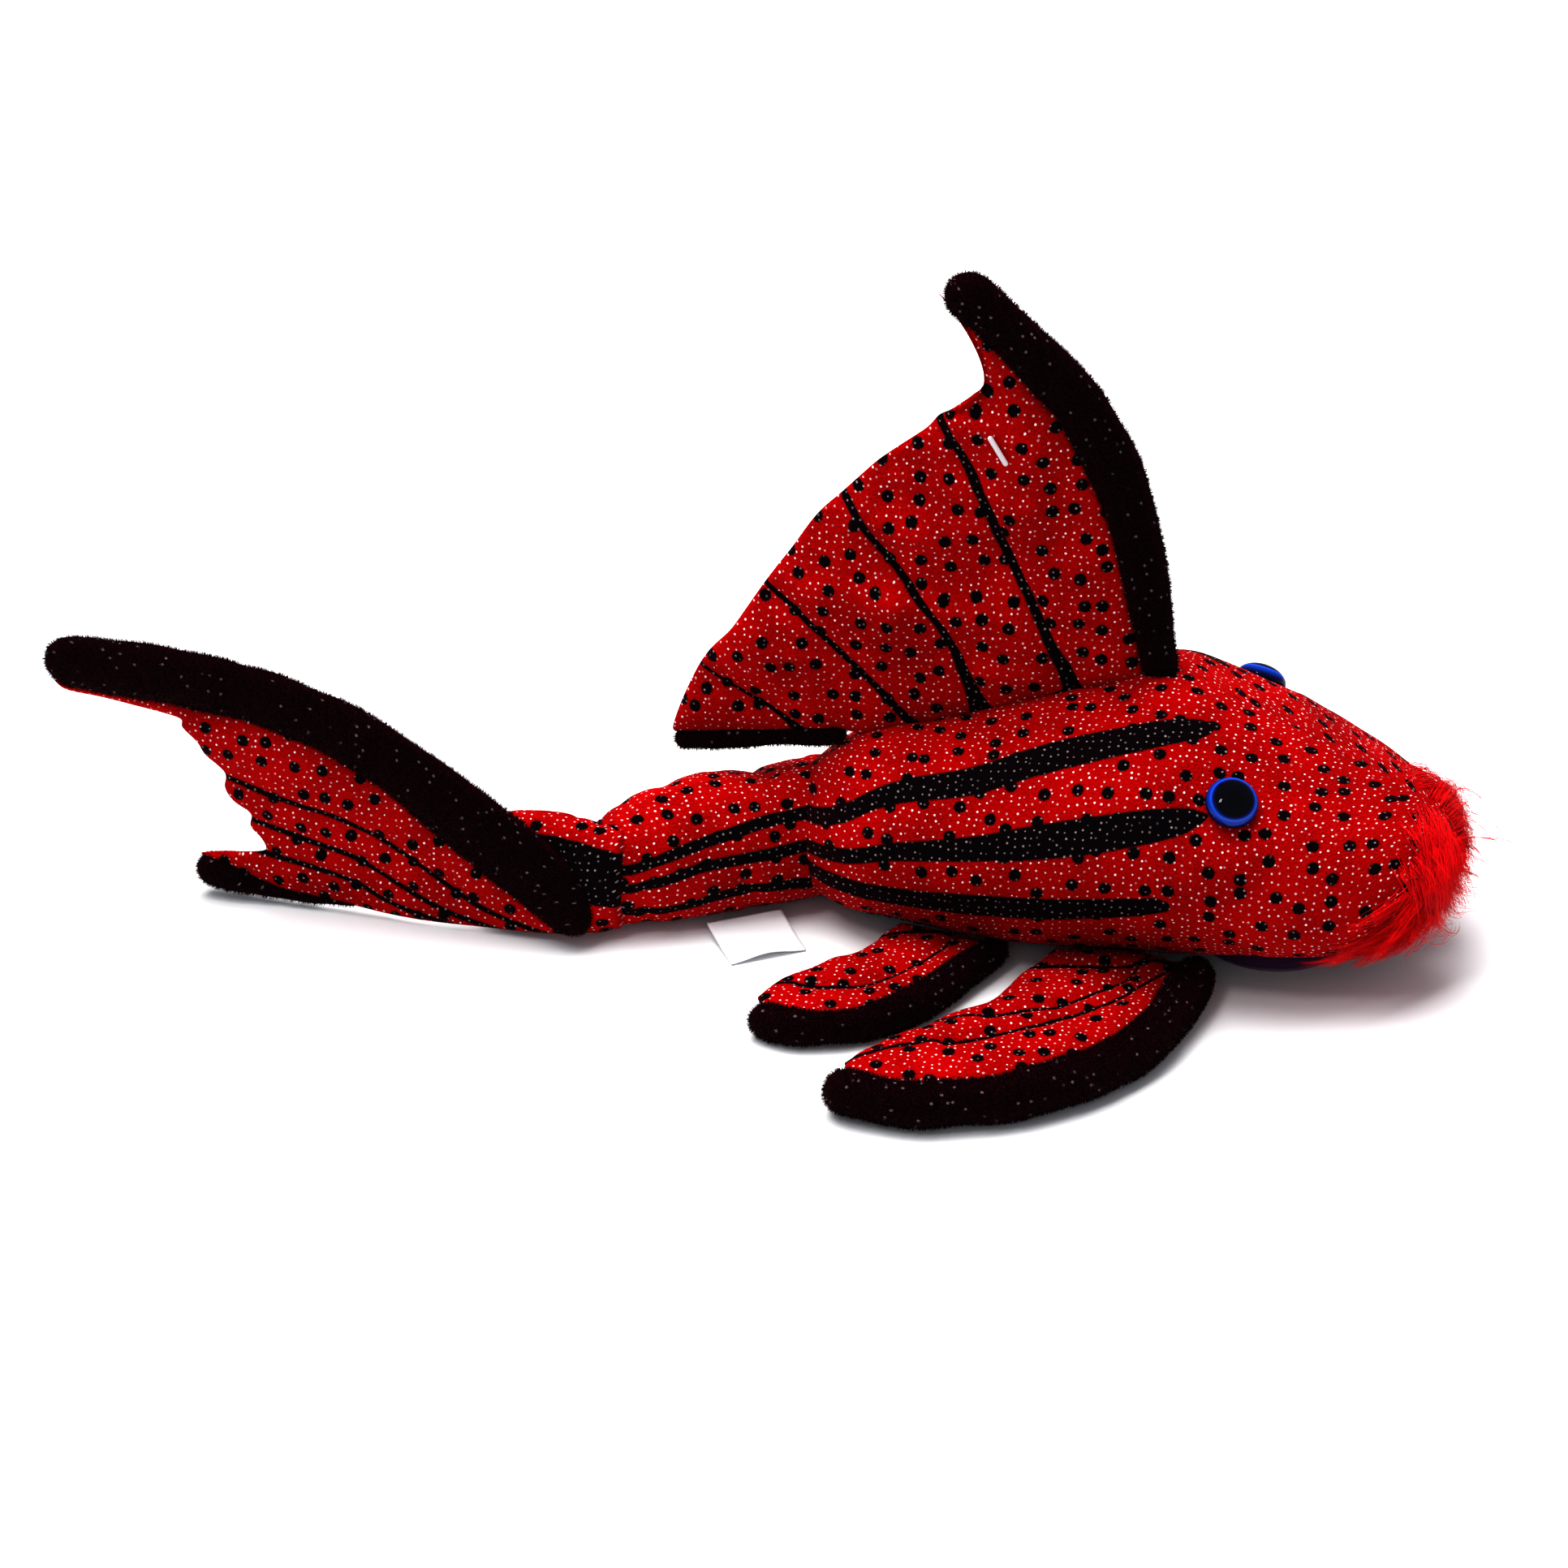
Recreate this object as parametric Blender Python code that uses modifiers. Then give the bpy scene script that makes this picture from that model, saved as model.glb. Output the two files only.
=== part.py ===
"""Stuffed plush suckermouth catfish with a suction cup under its mouth.

The head points along +X, the back is up and the belly lies on z = 0. The tail rests in a bend
towards -Y. Every piece that moves hangs from an empty on its hinge line.
"""

import math

import bmesh
import bpy
from mathutils import Matrix, Vector

# Cloth and clearances
SKIN = 0.0012  # pile fabric with its backing
WEB = 0.0010  # printed fin fabric
GAP = 0.0003  # between pieces that touch
SEAM_RADIUS = 0.0011  # folded allowance that a fin is sewn in by
SIDE_FACETS = 12  # facets from belly line to back ridge

# Trunk and head: place along X, underside, ridge, half width, height of the widest line
TRUNK = (
    (-0.1164, 0.0022, 0.0500, 0.0310, 0.0250),
    (-0.100, 0.0012, 0.0555, 0.0360, 0.0262),
    (-0.081, 0.0005, 0.0622, 0.0415, 0.0280),
    (-0.055, 0.0008, 0.0705, 0.0460, 0.0320),
    (-0.030, 0.0027, 0.0780, 0.0482, 0.0350),
    (-0.008, 0.0052, 0.0698, 0.0490, 0.0345),
    (0.008, 0.0066, 0.0618, 0.0470, 0.0335),
    (0.020, 0.0080, 0.0560, 0.0428, 0.0325),
    (0.031, 0.0110, 0.0505, 0.0360, 0.0315),
    (0.040, 0.0160, 0.0455, 0.0270, 0.0310),
    (0.046, 0.0230, 0.0395, 0.0150, 0.0310),
)
TRUNK_STATIONS = 17
BACK_FULLNESS = 2.1  # 2 is an ellipse, more is squarer
BELLY_FULLNESS = 2.3
BELLY_SEAM = -0.58  # where side meets belly: -1 is the belly line, 0 the widest line
MOUTH_PATCH_THICK = 0.0012

# Fur collar round the mouth
FUR_BACK = 0.029
FUR_FRONT = 0.0455
FUR_THICK = 0.0065
FUR_SWELL = (0.18, 0.78)  # stretch of a half wave that its thickness follows, from back to front
FUR_RINGS = 6
FUR_OPEN = -0.62  # the collar stays open below this line, under the mouth

# Safety eyes
EYE_X = -0.010
EYE_LINE = 0.467  # place between the widest line, 0, and the ridge, 1
EYE_FORWARD = math.radians(12)
EYE_RADIUS = 0.0070
EYE_HEIGHT = 0.0046
EYE_RIM = 0.1  # share of the dome's height that its rim stands straight
EYE_RINGS = 7
EYE_POST_RADIUS = 0.0022
EYE_POST_LENGTH = 0.0100
EYE_WASHER_RADIUS = 0.0065
EYE_WASHER_THICK = 0.0012
EYE_WASHER_DEPTH = 0.0034
EYE_STAND_OFF = 0.0006  # the flat back clears the curved cloth

# Suction cup
CUP_X = 0.0
CUP_RADIUS = 0.0210
CUP_LIP = 0.0009
CUP_NECK_RADIUS = 0.0036
CUP_SHOULDER_RADIUS = 0.0066
CUP_KNOB_RADIUS = 0.0056
CUP_KNOB_THICK = 0.0026
CUP_KNOB_TOP = 0.8  # shares of the knob's radius, on top and underneath
CUP_KNOB_UNDER = 0.9
# The cup's outside and hollow: share of its radius, share of its shoulder's height
CUP_OUTSIDE = ((0.55, 0.72), (0.80, 0.38))
CUP_HOLLOW = ((0.90, 0.0), (0.74, 0.20), (0.50, 0.42), (0.0, 0.58))

# Tail stalk, in its rest bend
STALK_PIVOT = Vector((-0.130, 0.0, 0.0))
STALK_BEND = math.radians(33.2)
# Place behind the pivot, underside, top, half width, height of the widest line
STALK = (
    (-0.0132, 0.0030, 0.0365, 0.0030, 0.0190),
    (-0.0110, 0.0024, 0.0373, 0.0078, 0.0190),
    (-0.0060, 0.0020, 0.0380, 0.0118, 0.0190),
    (0.0, 0.0016, 0.0380, 0.0134, 0.0190),
    (0.0040, 0.0014, 0.0375, 0.0165, 0.0190),
    (0.0100, 0.0012, 0.0370, 0.0200, 0.0190),
    (0.0220, 0.0012, 0.0380, 0.0200, 0.0190),
    (0.0350, 0.0012, 0.0385, 0.0185, 0.0190),
    (0.0480, 0.0014, 0.0368, 0.0160, 0.0180),
    (0.0584, 0.0016, 0.0340, 0.0130, 0.0170),
)
STALK_STATIONS = 14

# Tail root, behind the second pivot
TAIL_PIVOT = Vector((-0.1865, -0.0370, 0.0))
TAIL_TURN = math.radians(4)
ROOT_TABLE = (
    (-0.0088, 0.0026, 0.0320, 0.0022, 0.0160),
    (-0.0070, 0.0022, 0.0328, 0.0054, 0.0160),
    (-0.0035, 0.0018, 0.0334, 0.0081, 0.0160),
    (0.0, 0.0016, 0.0338, 0.0088, 0.0160),
    (0.0090, 0.0016, 0.0336, 0.0084, 0.0160),
    (0.0180, 0.0020, 0.0325, 0.0074, 0.0160),
    (0.0230, 0.0030, 0.0300, 0.0048, 0.0160),
)
ROOT_STATIONS = 10

# Tail fin in its own upright plane: place behind the pivot, height, half width of the border
TAIL_SIDE = 0.0098  # from the pivot to the fin's middle plane
TAIL_UPPER = (
    (0.0130, 0.0225, 0.0100),
    (0.0290, 0.0340, 0.0098),
    (0.0450, 0.0460, 0.0092),
    (0.0660, 0.0575, 0.0084),
    (0.0930, 0.0650, 0.0084),
    (0.1260, 0.0675, 0.0080),
    (0.1525, 0.0672, 0.0072),
)
TAIL_LOWER = (
    (0.0220, 0.0045, 0.0030),
    (0.0500, 0.0044, 0.0031),
    (0.0800, 0.0045, 0.0033),
    (0.1000, 0.0056, 0.0038),
    (0.1100, 0.0078, 0.0042),
)
TAIL_REAR = (
    (0.1050, 0.0500),
    (0.1040, 0.0430),
    (0.0975, 0.0360),
    (0.0955, 0.0285),
    (0.0915, 0.0210),
    (0.0940, 0.0150),
    (0.1030, 0.0135),
)
TAIL_WEB_FROM = 0.10  # stretch of the upper border that the web is sewn to
TAIL_WEB_TO = 0.82
TAIL_THICK = 0.0042  # half thickness of the upper border
TAIL_PUFF = 0.0018

# Each fin's points are drawn from its seam line, whose two ends, front and rear, lie at the
# distances named SEAM_AT. They move with the body that the fin is sewn to.
# Dorsal fin in the middle plane: x, z, half width of the border
DORSAL_SEAM_AT = (0.0771000, 0.0504695)
DORSAL_FRONT = (
    (-0.0352, 0.0825, 0.0046),
    (-0.0376, 0.0960, 0.0054),
    (-0.0428, 0.1180, 0.0068),
    (-0.0498, 0.1375, 0.0073),
    (-0.0576, 0.1512, 0.0070),
    (-0.0661, 0.1602, 0.0066),
    (-0.0747, 0.1683, 0.0064),
    (-0.0828, 0.1752, 0.0063),
    (-0.0922, 0.1834, 0.0060),
)
DORSAL_REAR_BORDER = (
    (-0.1240, 0.0490, 0.0024),
    (-0.1400, 0.0466, 0.0026),
    (-0.1560, 0.0444, 0.0028),
    (-0.1690, 0.0432, 0.0028),
)
DORSAL_TRAIL = (
    (-0.1655, 0.0575),
    (-0.1520, 0.0796),
    (-0.1362, 0.1030),
    (-0.1193, 0.1227),
    (-0.1000, 0.1425),
    (-0.0840, 0.1555),
    (-0.0868, 0.1660),
)
DORSAL_THICK = 0.0045
DORSAL_PUFF = 0.0024
HINGE_FRONT = -0.0330
HINGE_REAR = -0.1150
RIDGE_CROWN = 0.0004  # most that the back rises above its straight seam line

# Paired fins, drawn on the right side: x, distance from the middle plane, half width of the border
PECTORAL_SEAM_AT = (0.0285332, 0.0347143)
PECTORAL_HEIGHT = 0.0066
PECTORAL_BASE = (-0.0150, -0.0560)
PECTORAL_EDGE = (
    (-0.0170, 0.0380, 0.0052),
    (-0.0190, 0.0530, 0.0060),
    (-0.0245, 0.0725, 0.0062),
    (-0.0345, 0.0890, 0.0063),
    (-0.0490, 0.1035, 0.0063),
    (-0.0655, 0.1125, 0.0063),
    (-0.0840, 0.1170, 0.0062),
    (-0.1030, 0.1135, 0.0058),
)
PECTORAL_TRAIL = (
    (-0.0620, 0.0460),
    (-0.0660, 0.0580),
    (-0.0780, 0.0730),
    (-0.0890, 0.0860),
    (-0.1010, 0.1010),
)
PECTORAL_THICK = 0.0056
PECTORAL_PUFF = 0.0022
PELVIC_SEAM_AT = (0.0311317, 0.0266228)
PELVIC_HEIGHT = 0.0050
PELVIC_BASE = (-0.0700, -0.1000)
PELVIC_EDGE = (
    (-0.0730, 0.0345, 0.0040),
    (-0.0790, 0.0480, 0.0044),
    (-0.0880, 0.0655, 0.0046),
    (-0.1010, 0.0790, 0.0046),
    (-0.1160, 0.0840, 0.0046),
    (-0.1300, 0.0812, 0.0044),
)
PELVIC_TRAIL = (
    (-0.1040, 0.0340),
    (-0.1090, 0.0430),
    (-0.1180, 0.0530),
    (-0.1270, 0.0640),
    (-0.1305, 0.0720),
)
PELVIC_THICK = 0.0042
PELVIC_PUFF = 0.0016
WADDING_EDGE = 0.0004  # half thickness of the wadding where it is sewn
FIN_ROWS = 9
FIN_COLUMNS = 6
EDGE_FROM = 0.06  # stretch of a paired fin's border that its web is sewn to
EDGE_TO = 0.94
ROLL_STATIONS = 12
ROLL_SIDES = 10
ROLL_TAPER = 0.8  # how far a roll narrows at its ends, and how late
ROLL_BLUNTNESS = 20
PUFF_FULLNESS = 0.6  # less is a flatter middle with steeper edges
ROD_SIDES = 10
HOLE_SIDES = 20
LABEL_GRID = (5, 4)
REAR_BORDER_SEWN = (0.15, 0.6, 1.0)  # places on the dorsal fin's rear border that its web meets

# Care label and tag fastener
LABEL_FROM = 0.0150
LABEL_WIDTH = 0.0220
LABEL_LENGTH = 0.0185  # most of it lies under the stalk
LABEL_THICK = 0.0006
LABEL_LINE = -0.72  # line of the stalk's section that it is sewn to
LABEL_LOW = 0.0005  # height of its free end
FASTENER_PLACE = (-0.0790, 0.1410)
FASTENER_SLANT = math.radians(-58)
FASTENER_BAR = 0.0094
FASTENER_BAR_RADIUS = 0.0007
FASTENER_STEM_RADIUS = 0.0004
FASTENER_PADDLE = 0.0060

FABRIC_RED = (0.55, 0.010, 0.012, 1.0)
FABRIC_BLACK = (0.020, 0.006, 0.008, 1.0)
FUR_RED = (0.75, 0.010, 0.014, 1.0)
FILLING_WHITE = (0.85, 0.85, 0.82, 1.0)
PLASTIC_BLACK = (0.010, 0.010, 0.014, 1.0)
PLASTIC_WHITE = (0.80, 0.80, 0.80, 1.0)
CUP_PURPLE = (0.16, 0.04, 0.16, 1.0)
LABEL_WHITE = (0.80, 0.80, 0.80, 1.0)
PILE_ROUGH = 0.8
PLUSH_ROUGH = 0.9
FILLING_ROUGH = 0.95
SATIN_ROUGH = 0.5
POLISHED = 0.1


def empty_scene():
    for obj in list(bpy.data.objects):
        bpy.data.objects.remove(obj, do_unlink=True)
    for collection in list(bpy.data.collections):
        bpy.data.collections.remove(collection)


def new_collection(name):
    collection = bpy.data.collections.new(name)
    bpy.context.scene.collection.children.link(collection)
    return collection


empty_scene()
PARTS = new_collection("plush_catfish")
CUTTERS = new_collection("cutters")
CUTTERS.hide_render = True


def pivot(name, place, parent=None):
    """An empty on a hinge line. What hangs from it moves as one body."""
    empty = bpy.data.objects.new(name, None)
    empty.empty_display_size = 0.01
    PARTS.objects.link(empty)
    empty.location = place
    if parent is not None:
        empty.parent = parent
        empty.matrix_parent_inverse = Matrix.Translation(-world_place(parent))
    return empty


def world_place(empty):
    """Every empty is placed in world coordinates, so its location is its world place."""
    return empty.location.copy()


def add_node(name, mesh, colour, roughness, body):
    """One sub-part: its mesh is in world coordinates and it hangs from its body's empty."""
    obj = bpy.data.objects.new(name, mesh)
    finish = bpy.data.materials.new(name + "_finish")
    finish.use_nodes = True
    shader = finish.node_tree.nodes["Principled BSDF"]
    shader.inputs["Base Color"].default_value = colour
    shader.inputs["Roughness"].default_value = roughness
    shader.inputs["Metallic"].default_value = 0.0
    finish.diffuse_color = colour
    mesh.materials.append(finish)
    PARTS.objects.link(obj)
    obj.parent = body
    obj.matrix_parent_inverse = Matrix.Translation(-world_place(body))
    return obj


def mesh_of(name, points, faces):
    mesh = bpy.data.meshes.new(name)
    mesh.from_pydata(points, [], faces)
    shape = bmesh.new()
    shape.from_mesh(mesh)
    bmesh.ops.recalc_face_normals(shape, faces=shape.faces)
    shape.to_mesh(mesh)
    shape.free()
    return mesh


def slab(name, upper, lower):
    """The closed sheet between two grids of points with the same rows and columns."""
    rows = len(upper)
    columns = len(upper[0])
    points = [point for grid in (upper, lower) for row in grid for point in row]

    def at(layer, row, column):
        return (layer * rows + row) * columns + column

    faces = []
    for row in range(rows - 1):
        for column in range(columns - 1):
            for layer in (0, 1):
                faces.append(
                    (
                        at(layer, row, column),
                        at(layer, row + 1, column),
                        at(layer, row + 1, column + 1),
                        at(layer, row, column + 1),
                    )
                )
    for row in range(rows - 1):
        for column in (0, columns - 1):
            faces.append(
                (at(0, row, column), at(1, row, column), at(1, row + 1, column), at(0, row + 1, column))
            )
    for column in range(columns - 1):
        for row in (0, rows - 1):
            faces.append(
                (at(0, row, column), at(1, row, column), at(1, row, column + 1), at(0, row, column + 1))
            )
    return mesh_of(name, points, faces)


def loft(name, rings):
    """A closed solid through rings with the same number of points."""
    sides = len(rings[0])
    points = [point for ring in rings for point in ring]
    faces = [tuple(range(sides)), tuple((len(rings) - 1) * sides + side for side in range(sides))]
    for ring in range(len(rings) - 1):
        for side in range(sides):
            after = (side + 1) % sides
            faces.append(
                (
                    ring * sides + side,
                    ring * sides + after,
                    (ring + 1) * sides + after,
                    (ring + 1) * sides + side,
                )
            )
    return mesh_of(name, points, faces)


def smooth(controls, place):
    """A value at place, 0 to 1, on an even curve through the controls (tuples or vectors)."""
    last = len(controls) - 1
    spot = min(max(place, 0.0), 1.0) * last
    index = min(int(spot), last - 1)
    part = spot - index
    before = controls[max(index - 1, 0)]
    start = controls[index]
    end = controls[index + 1]
    after = controls[min(index + 2, last)]
    value = []
    for a, b, c, d in zip(before, start, end, after):
        bend = 2 * a - 5 * b + 4 * c - d
        twist = 3 * b - a - 3 * c + d
        value.append(0.5 * (2 * b + (c - a) * part + bend * part**2 + twist * part**3))
    return value


def station(table, x):
    """The section values of a body at x, straight between the rows of its table."""
    for low, high in zip(table, table[1:]):
        if x <= high[0]:
            share = (x - low[0]) / (high[0] - low[0])
            return [a + (b - a) * share for a, b in zip(low[1:], high[1:])]
    return table[-1][1:]


def section(values, line, side, depth):
    """(sideways, height) on a body's cross-section. line runs from -1, the belly line, through
    0, the widest line, to 1, the ridge. depth is how far inside the outer skin the point lies.
    Points keep half a gap from the middle line, so that two sewn panels stay apart there."""
    bottom, top, half_width, widest = values
    angle = line * math.pi / 2
    fullness = BACK_FULLNESS if line > 0 else BELLY_FULLNESS
    rise = (top - widest if line > 0 else widest - bottom) - depth
    across = (half_width - depth) * max(math.cos(angle), 0.0) ** (2 / fullness)
    up = rise * abs(math.sin(angle)) ** (2 / fullness)
    return side * max(across, GAP / 2), widest + math.copysign(up, line)


def trunk_point(x, line, side, depth=0.0):
    across, height = section(station(TRUNK, x), line, side, depth)
    return Vector((x, across, height))


def rearward(turn):
    """The level direction towards the tail, turned from -X towards -Y."""
    return Vector((-math.cos(turn), -math.sin(turn), 0.0))


def leftward(turn):
    return Vector((-math.sin(turn), math.cos(turn), 0.0))


def body_point(table, origin, turn):
    """The point function of a body that runs rearwards from origin."""

    def point(place, line, side, depth=0.0):
        across, height = section(station(table, place), line, side, depth)
        level = origin + rearward(turn) * place + leftward(turn) * across
        return level + Vector((0.0, 0.0, height))

    return point


def spread(first, last, count):
    return [first + (last - first) * index / (count - 1) for index in range(count)]


def shell(name, point, places, lines, side):
    """A sewn panel: part of a body's surface, one skin deep. lines(place) gives its lines."""
    outer = [[point(place, line, side, 0.0) for line in lines(place)] for place in places]
    inner = [[point(place, line, side, SKIN) for line in lines(place)] for place in places]
    return slab(name, outer, inner)


def closed_body(name, point, places, lines, depth):
    """The solid filling of a body, depth inside its outer skin."""
    rings = []
    for place in places:
        left = [point(place, line, 1, depth) for line in lines(place)]
        right = [point(place, line, -1, depth) for line in reversed(lines(place))]
        rings.append(left + right)
    return loft(name, rings)


def belly_lines(x):
    return spread(-1.0, BELLY_SEAM, SIDE_FACETS // 2)


def side_lines(x):
    """The lines of a side panel, from one gap above the belly seam to the ridge."""
    step = 0.01
    run = trunk_point(x, BELLY_SEAM + step, 1) - trunk_point(x, BELLY_SEAM, 1)
    return spread(BELLY_SEAM + step * GAP / run.length, 1.0, SIDE_FACETS)


def trunk_lines(x):
    return belly_lines(x) + side_lines(x)[1:]


def rod_mesh(name, start, end, radius, sides):
    shape = bmesh.new()
    length = (end - start).length
    bmesh.ops.create_cone(
        shape, cap_ends=True, segments=sides, radius1=radius, radius2=radius, depth=length
    )
    mesh = bpy.data.meshes.new(name)
    shape.to_mesh(mesh)
    shape.free()
    turn = (end - start).to_track_quat("Z", "Y").to_matrix().to_4x4()
    mesh.transform(Matrix.Translation((start + end) / 2) @ turn)
    return mesh


def add_cutter(name, start, end, radius):
    """A hidden rod that cuts a hole. It hangs from the whole object."""
    cutter = bpy.data.objects.new(name, rod_mesh(name, start, end, radius, HOLE_SIDES))
    cutter.hide_render = True
    cutter.display_type = "WIRE"
    cutter.parent = ROOT
    CUTTERS.objects.link(cutter)
    return cutter


def cut(obj, cutter):
    boolean = obj.modifiers.new(cutter.name, "BOOLEAN")
    boolean.operation = "DIFFERENCE"
    boolean.object = cutter


def add_turned(name, profile, place, axis, colour, roughness, body, steps=24):
    """A turned piece. The profile is (radius, height) from its top down its outside."""
    mesh = bpy.data.meshes.new(name)
    points = [(radius, 0.0, height) for radius, height in profile]
    edges = [(index, index + 1) for index in range(len(points) - 1)]
    mesh.from_pydata(points, edges, [])
    obj = add_node(name, mesh, colour, roughness, body)
    screw = obj.modifiers.new("turn", "SCREW")
    screw.axis = "Z"
    screw.steps = steps
    screw.render_steps = steps
    screw.use_merge_vertices = True
    screw.merge_threshold = 0.00001
    obj.location = place
    obj.rotation_mode = "QUATERNION"
    obj.rotation_quaternion = axis.to_track_quat("Z", "Y")
    return obj


def plane(origin, along, upward):
    """A function that places plane coordinates (a, b) with a height off the plane."""
    normal = along.cross(upward).normalized()

    def place(a, b, height=0.0):
        return origin + along * a + upward * b + normal * height

    return place


def side_way(controls, share):
    """The unit direction to the left of the curve through the controls."""
    step = 0.01
    start = smooth(controls, max(share - step, 0.0))
    end = smooth(controls, min(share + step, 1.0))
    run = Vector((end[0] - start[0], end[1] - start[1])).normalized()
    return Vector((-run.y, run.x))


def beside(controls, share, side):
    """The point one gap outside a border's edge, on its left (1) or its right (-1)."""
    a, b, half_width = smooth(controls, share)
    return Vector((a, b)) + side_way(controls, share) * side * (half_width + GAP)


def roll(name, place, controls, thickness):
    """A padded border: a soft tube along the controls (a, b, half width) with round ends."""
    rings = []
    for share in spread(0.0, 1.0, ROLL_STATIONS):
        a, b, half_width = smooth(controls, share)
        across = side_way(controls, share)
        taper = math.sqrt(1.0 - ROLL_TAPER * (2.0 * share - 1.0) ** ROLL_BLUNTNESS)
        ring = []
        for side in range(ROLL_SIDES):
            angle = 2 * math.pi * side / ROLL_SIDES
            out = half_width * taper * math.cos(angle)
            high = min(thickness, half_width) * taper * math.sin(angle)
            ring.append(place(a + across.x * out, b + across.y * out, high))
        rings.append(ring)
    return loft(name, rings)


def web_grid(lead, trail, base, tip):
    """Plane points between four boundary curves that share their corners."""
    grid = []
    for far in spread(0.0, 1.0, FIN_ROWS):
        line = []
        for over in spread(0.0, 1.0, FIN_COLUMNS):
            ruled = lead(far) * (1 - over) + trail(far) * over
            crossed = base(over) * (1 - far) + tip(over) * far
            near_corners = (base(0.0) * (1 - over) + base(1.0) * over) * (1 - far)
            far_corners = (tip(0.0) * (1 - over) + tip(1.0) * over) * far
            line.append(ruled + crossed - near_corners - far_corners)
        grid.append(line)
    return grid


def add_web(prefix, names, place, grid, puff, body):
    """Two printed faces with wadding between them, flat at the seams and full in the middle."""
    edge = WEB + GAP + WADDING_EDGE

    def layer(offset, side):
        rows = []
        for far, line in zip(spread(0.0, 1.0, FIN_ROWS), grid):
            points = []
            for over, spot in zip(spread(0.0, 1.0, FIN_COLUMNS), line):
                full = (16 * over * (1 - over) * far * (1 - far)) ** PUFF_FULLNESS
                points.append(place(spot.x, spot.y, side * (edge + puff * full - offset)))
            rows.append(points)
        return rows

    pieces = []
    for name, side in zip(names, (1, -1)):
        mesh = slab(prefix + name, layer(0.0, side), layer(WEB, side))
        pieces.append(add_node(prefix + name, mesh, FABRIC_RED, PILE_ROUGH, body))
    filling = WEB + GAP
    wadding = slab(prefix + "batting", layer(filling, 1), layer(filling, -1))
    pieces.append(add_node(prefix + "batting", wadding, FILLING_WHITE, FILLING_ROUGH, body))
    return pieces


def add_border(name, place, controls, thickness, body):
    return add_node(name, roll(name, place, controls, thickness), FABRIC_BLACK, PLUSH_ROUGH, body)


def add_seam(name, start, end, body):
    """The folded allowance by which a fin is sewn to the body: a rod on its hinge line."""
    mesh = rod_mesh(name, start, end, SEAM_RADIUS, ROD_SIDES)
    return add_node(name, mesh, FABRIC_RED, PILE_ROUGH, body)


ROOT = pivot("plush_catfish_origin", (0.0, 0.0, 0.0))


def build_trunk():
    places = spread(TRUNK[0][0], TRUNK[-1][0], TRUNK_STATIONS)
    for name, side in (("body_side_left", 1), ("body_side_right", -1)):
        add_node(name, shell(name, trunk_point, places, side_lines, side), FABRIC_RED, PILE_ROUGH, ROOT)
    outer = []
    inner = []
    for x in places:
        for grid, depth in ((outer, 0.0), (inner, SKIN)):
            right = [trunk_point(x, line, -1, depth) for line in reversed(belly_lines(x))]
            left = [trunk_point(x, line, 1, depth) for line in belly_lines(x)]
            grid.append(right + left)
    add_node("belly_panel", slab("belly_panel", outer, inner), FABRIC_RED, PILE_ROUGH, ROOT)
    filling = closed_body("trunk_stuffing", trunk_point, places, trunk_lines, SKIN + GAP)
    add_node("trunk_stuffing", filling, FILLING_WHITE, FILLING_ROUGH, ROOT)


def build_mouth():
    """The disc that closes the snout, and the fur collar sewn round it."""
    front = TRUNK[-1][0]

    def patch_point(x, line, side, depth=0.0):
        point = trunk_point(front, line, side, depth)
        point.x = x
        return point

    ends = (front + GAP, front + GAP + MOUTH_PATCH_THICK)
    patch = closed_body("mouth_patch", patch_point, ends, trunk_lines, 0.0)
    add_node("mouth_patch", patch, FUR_RED, PLUSH_ROUGH, ROOT)
    upward = spread(FUR_OPEN, 1.0, SIDE_FACETS)
    outer = []
    inner = []
    for x, swell in zip(spread(FUR_BACK, FUR_FRONT, FUR_RINGS), spread(*FUR_SWELL, FUR_RINGS)):
        pile = FUR_THICK * math.sin(math.pi * swell)
        for grid, depth in ((outer, -GAP - pile), (inner, -GAP)):
            right = [trunk_point(x, line, -1, depth) for line in upward]
            left = [trunk_point(x, line, 1, depth) for line in reversed(upward)]
            grid.append(right + left)
    add_node("snout_fur", slab("snout_fur", outer, inner), FUR_RED, PLUSH_ROUGH, ROOT)


def eye_seat(side):
    """Where an eye's flat back sits, and the way the eye faces."""
    seat = trunk_point(EYE_X, EYE_LINE, side)
    step = 0.02
    upward = trunk_point(EYE_X, EYE_LINE + step, side) - trunk_point(EYE_X, EYE_LINE - step, side)
    outward = Vector((0.0, side * upward.z, -side * upward.y)).normalized()
    facing = (outward + Vector((math.tan(EYE_FORWARD), 0.0, 0.0))).normalized()
    return seat + facing * EYE_STAND_OFF, facing


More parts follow.
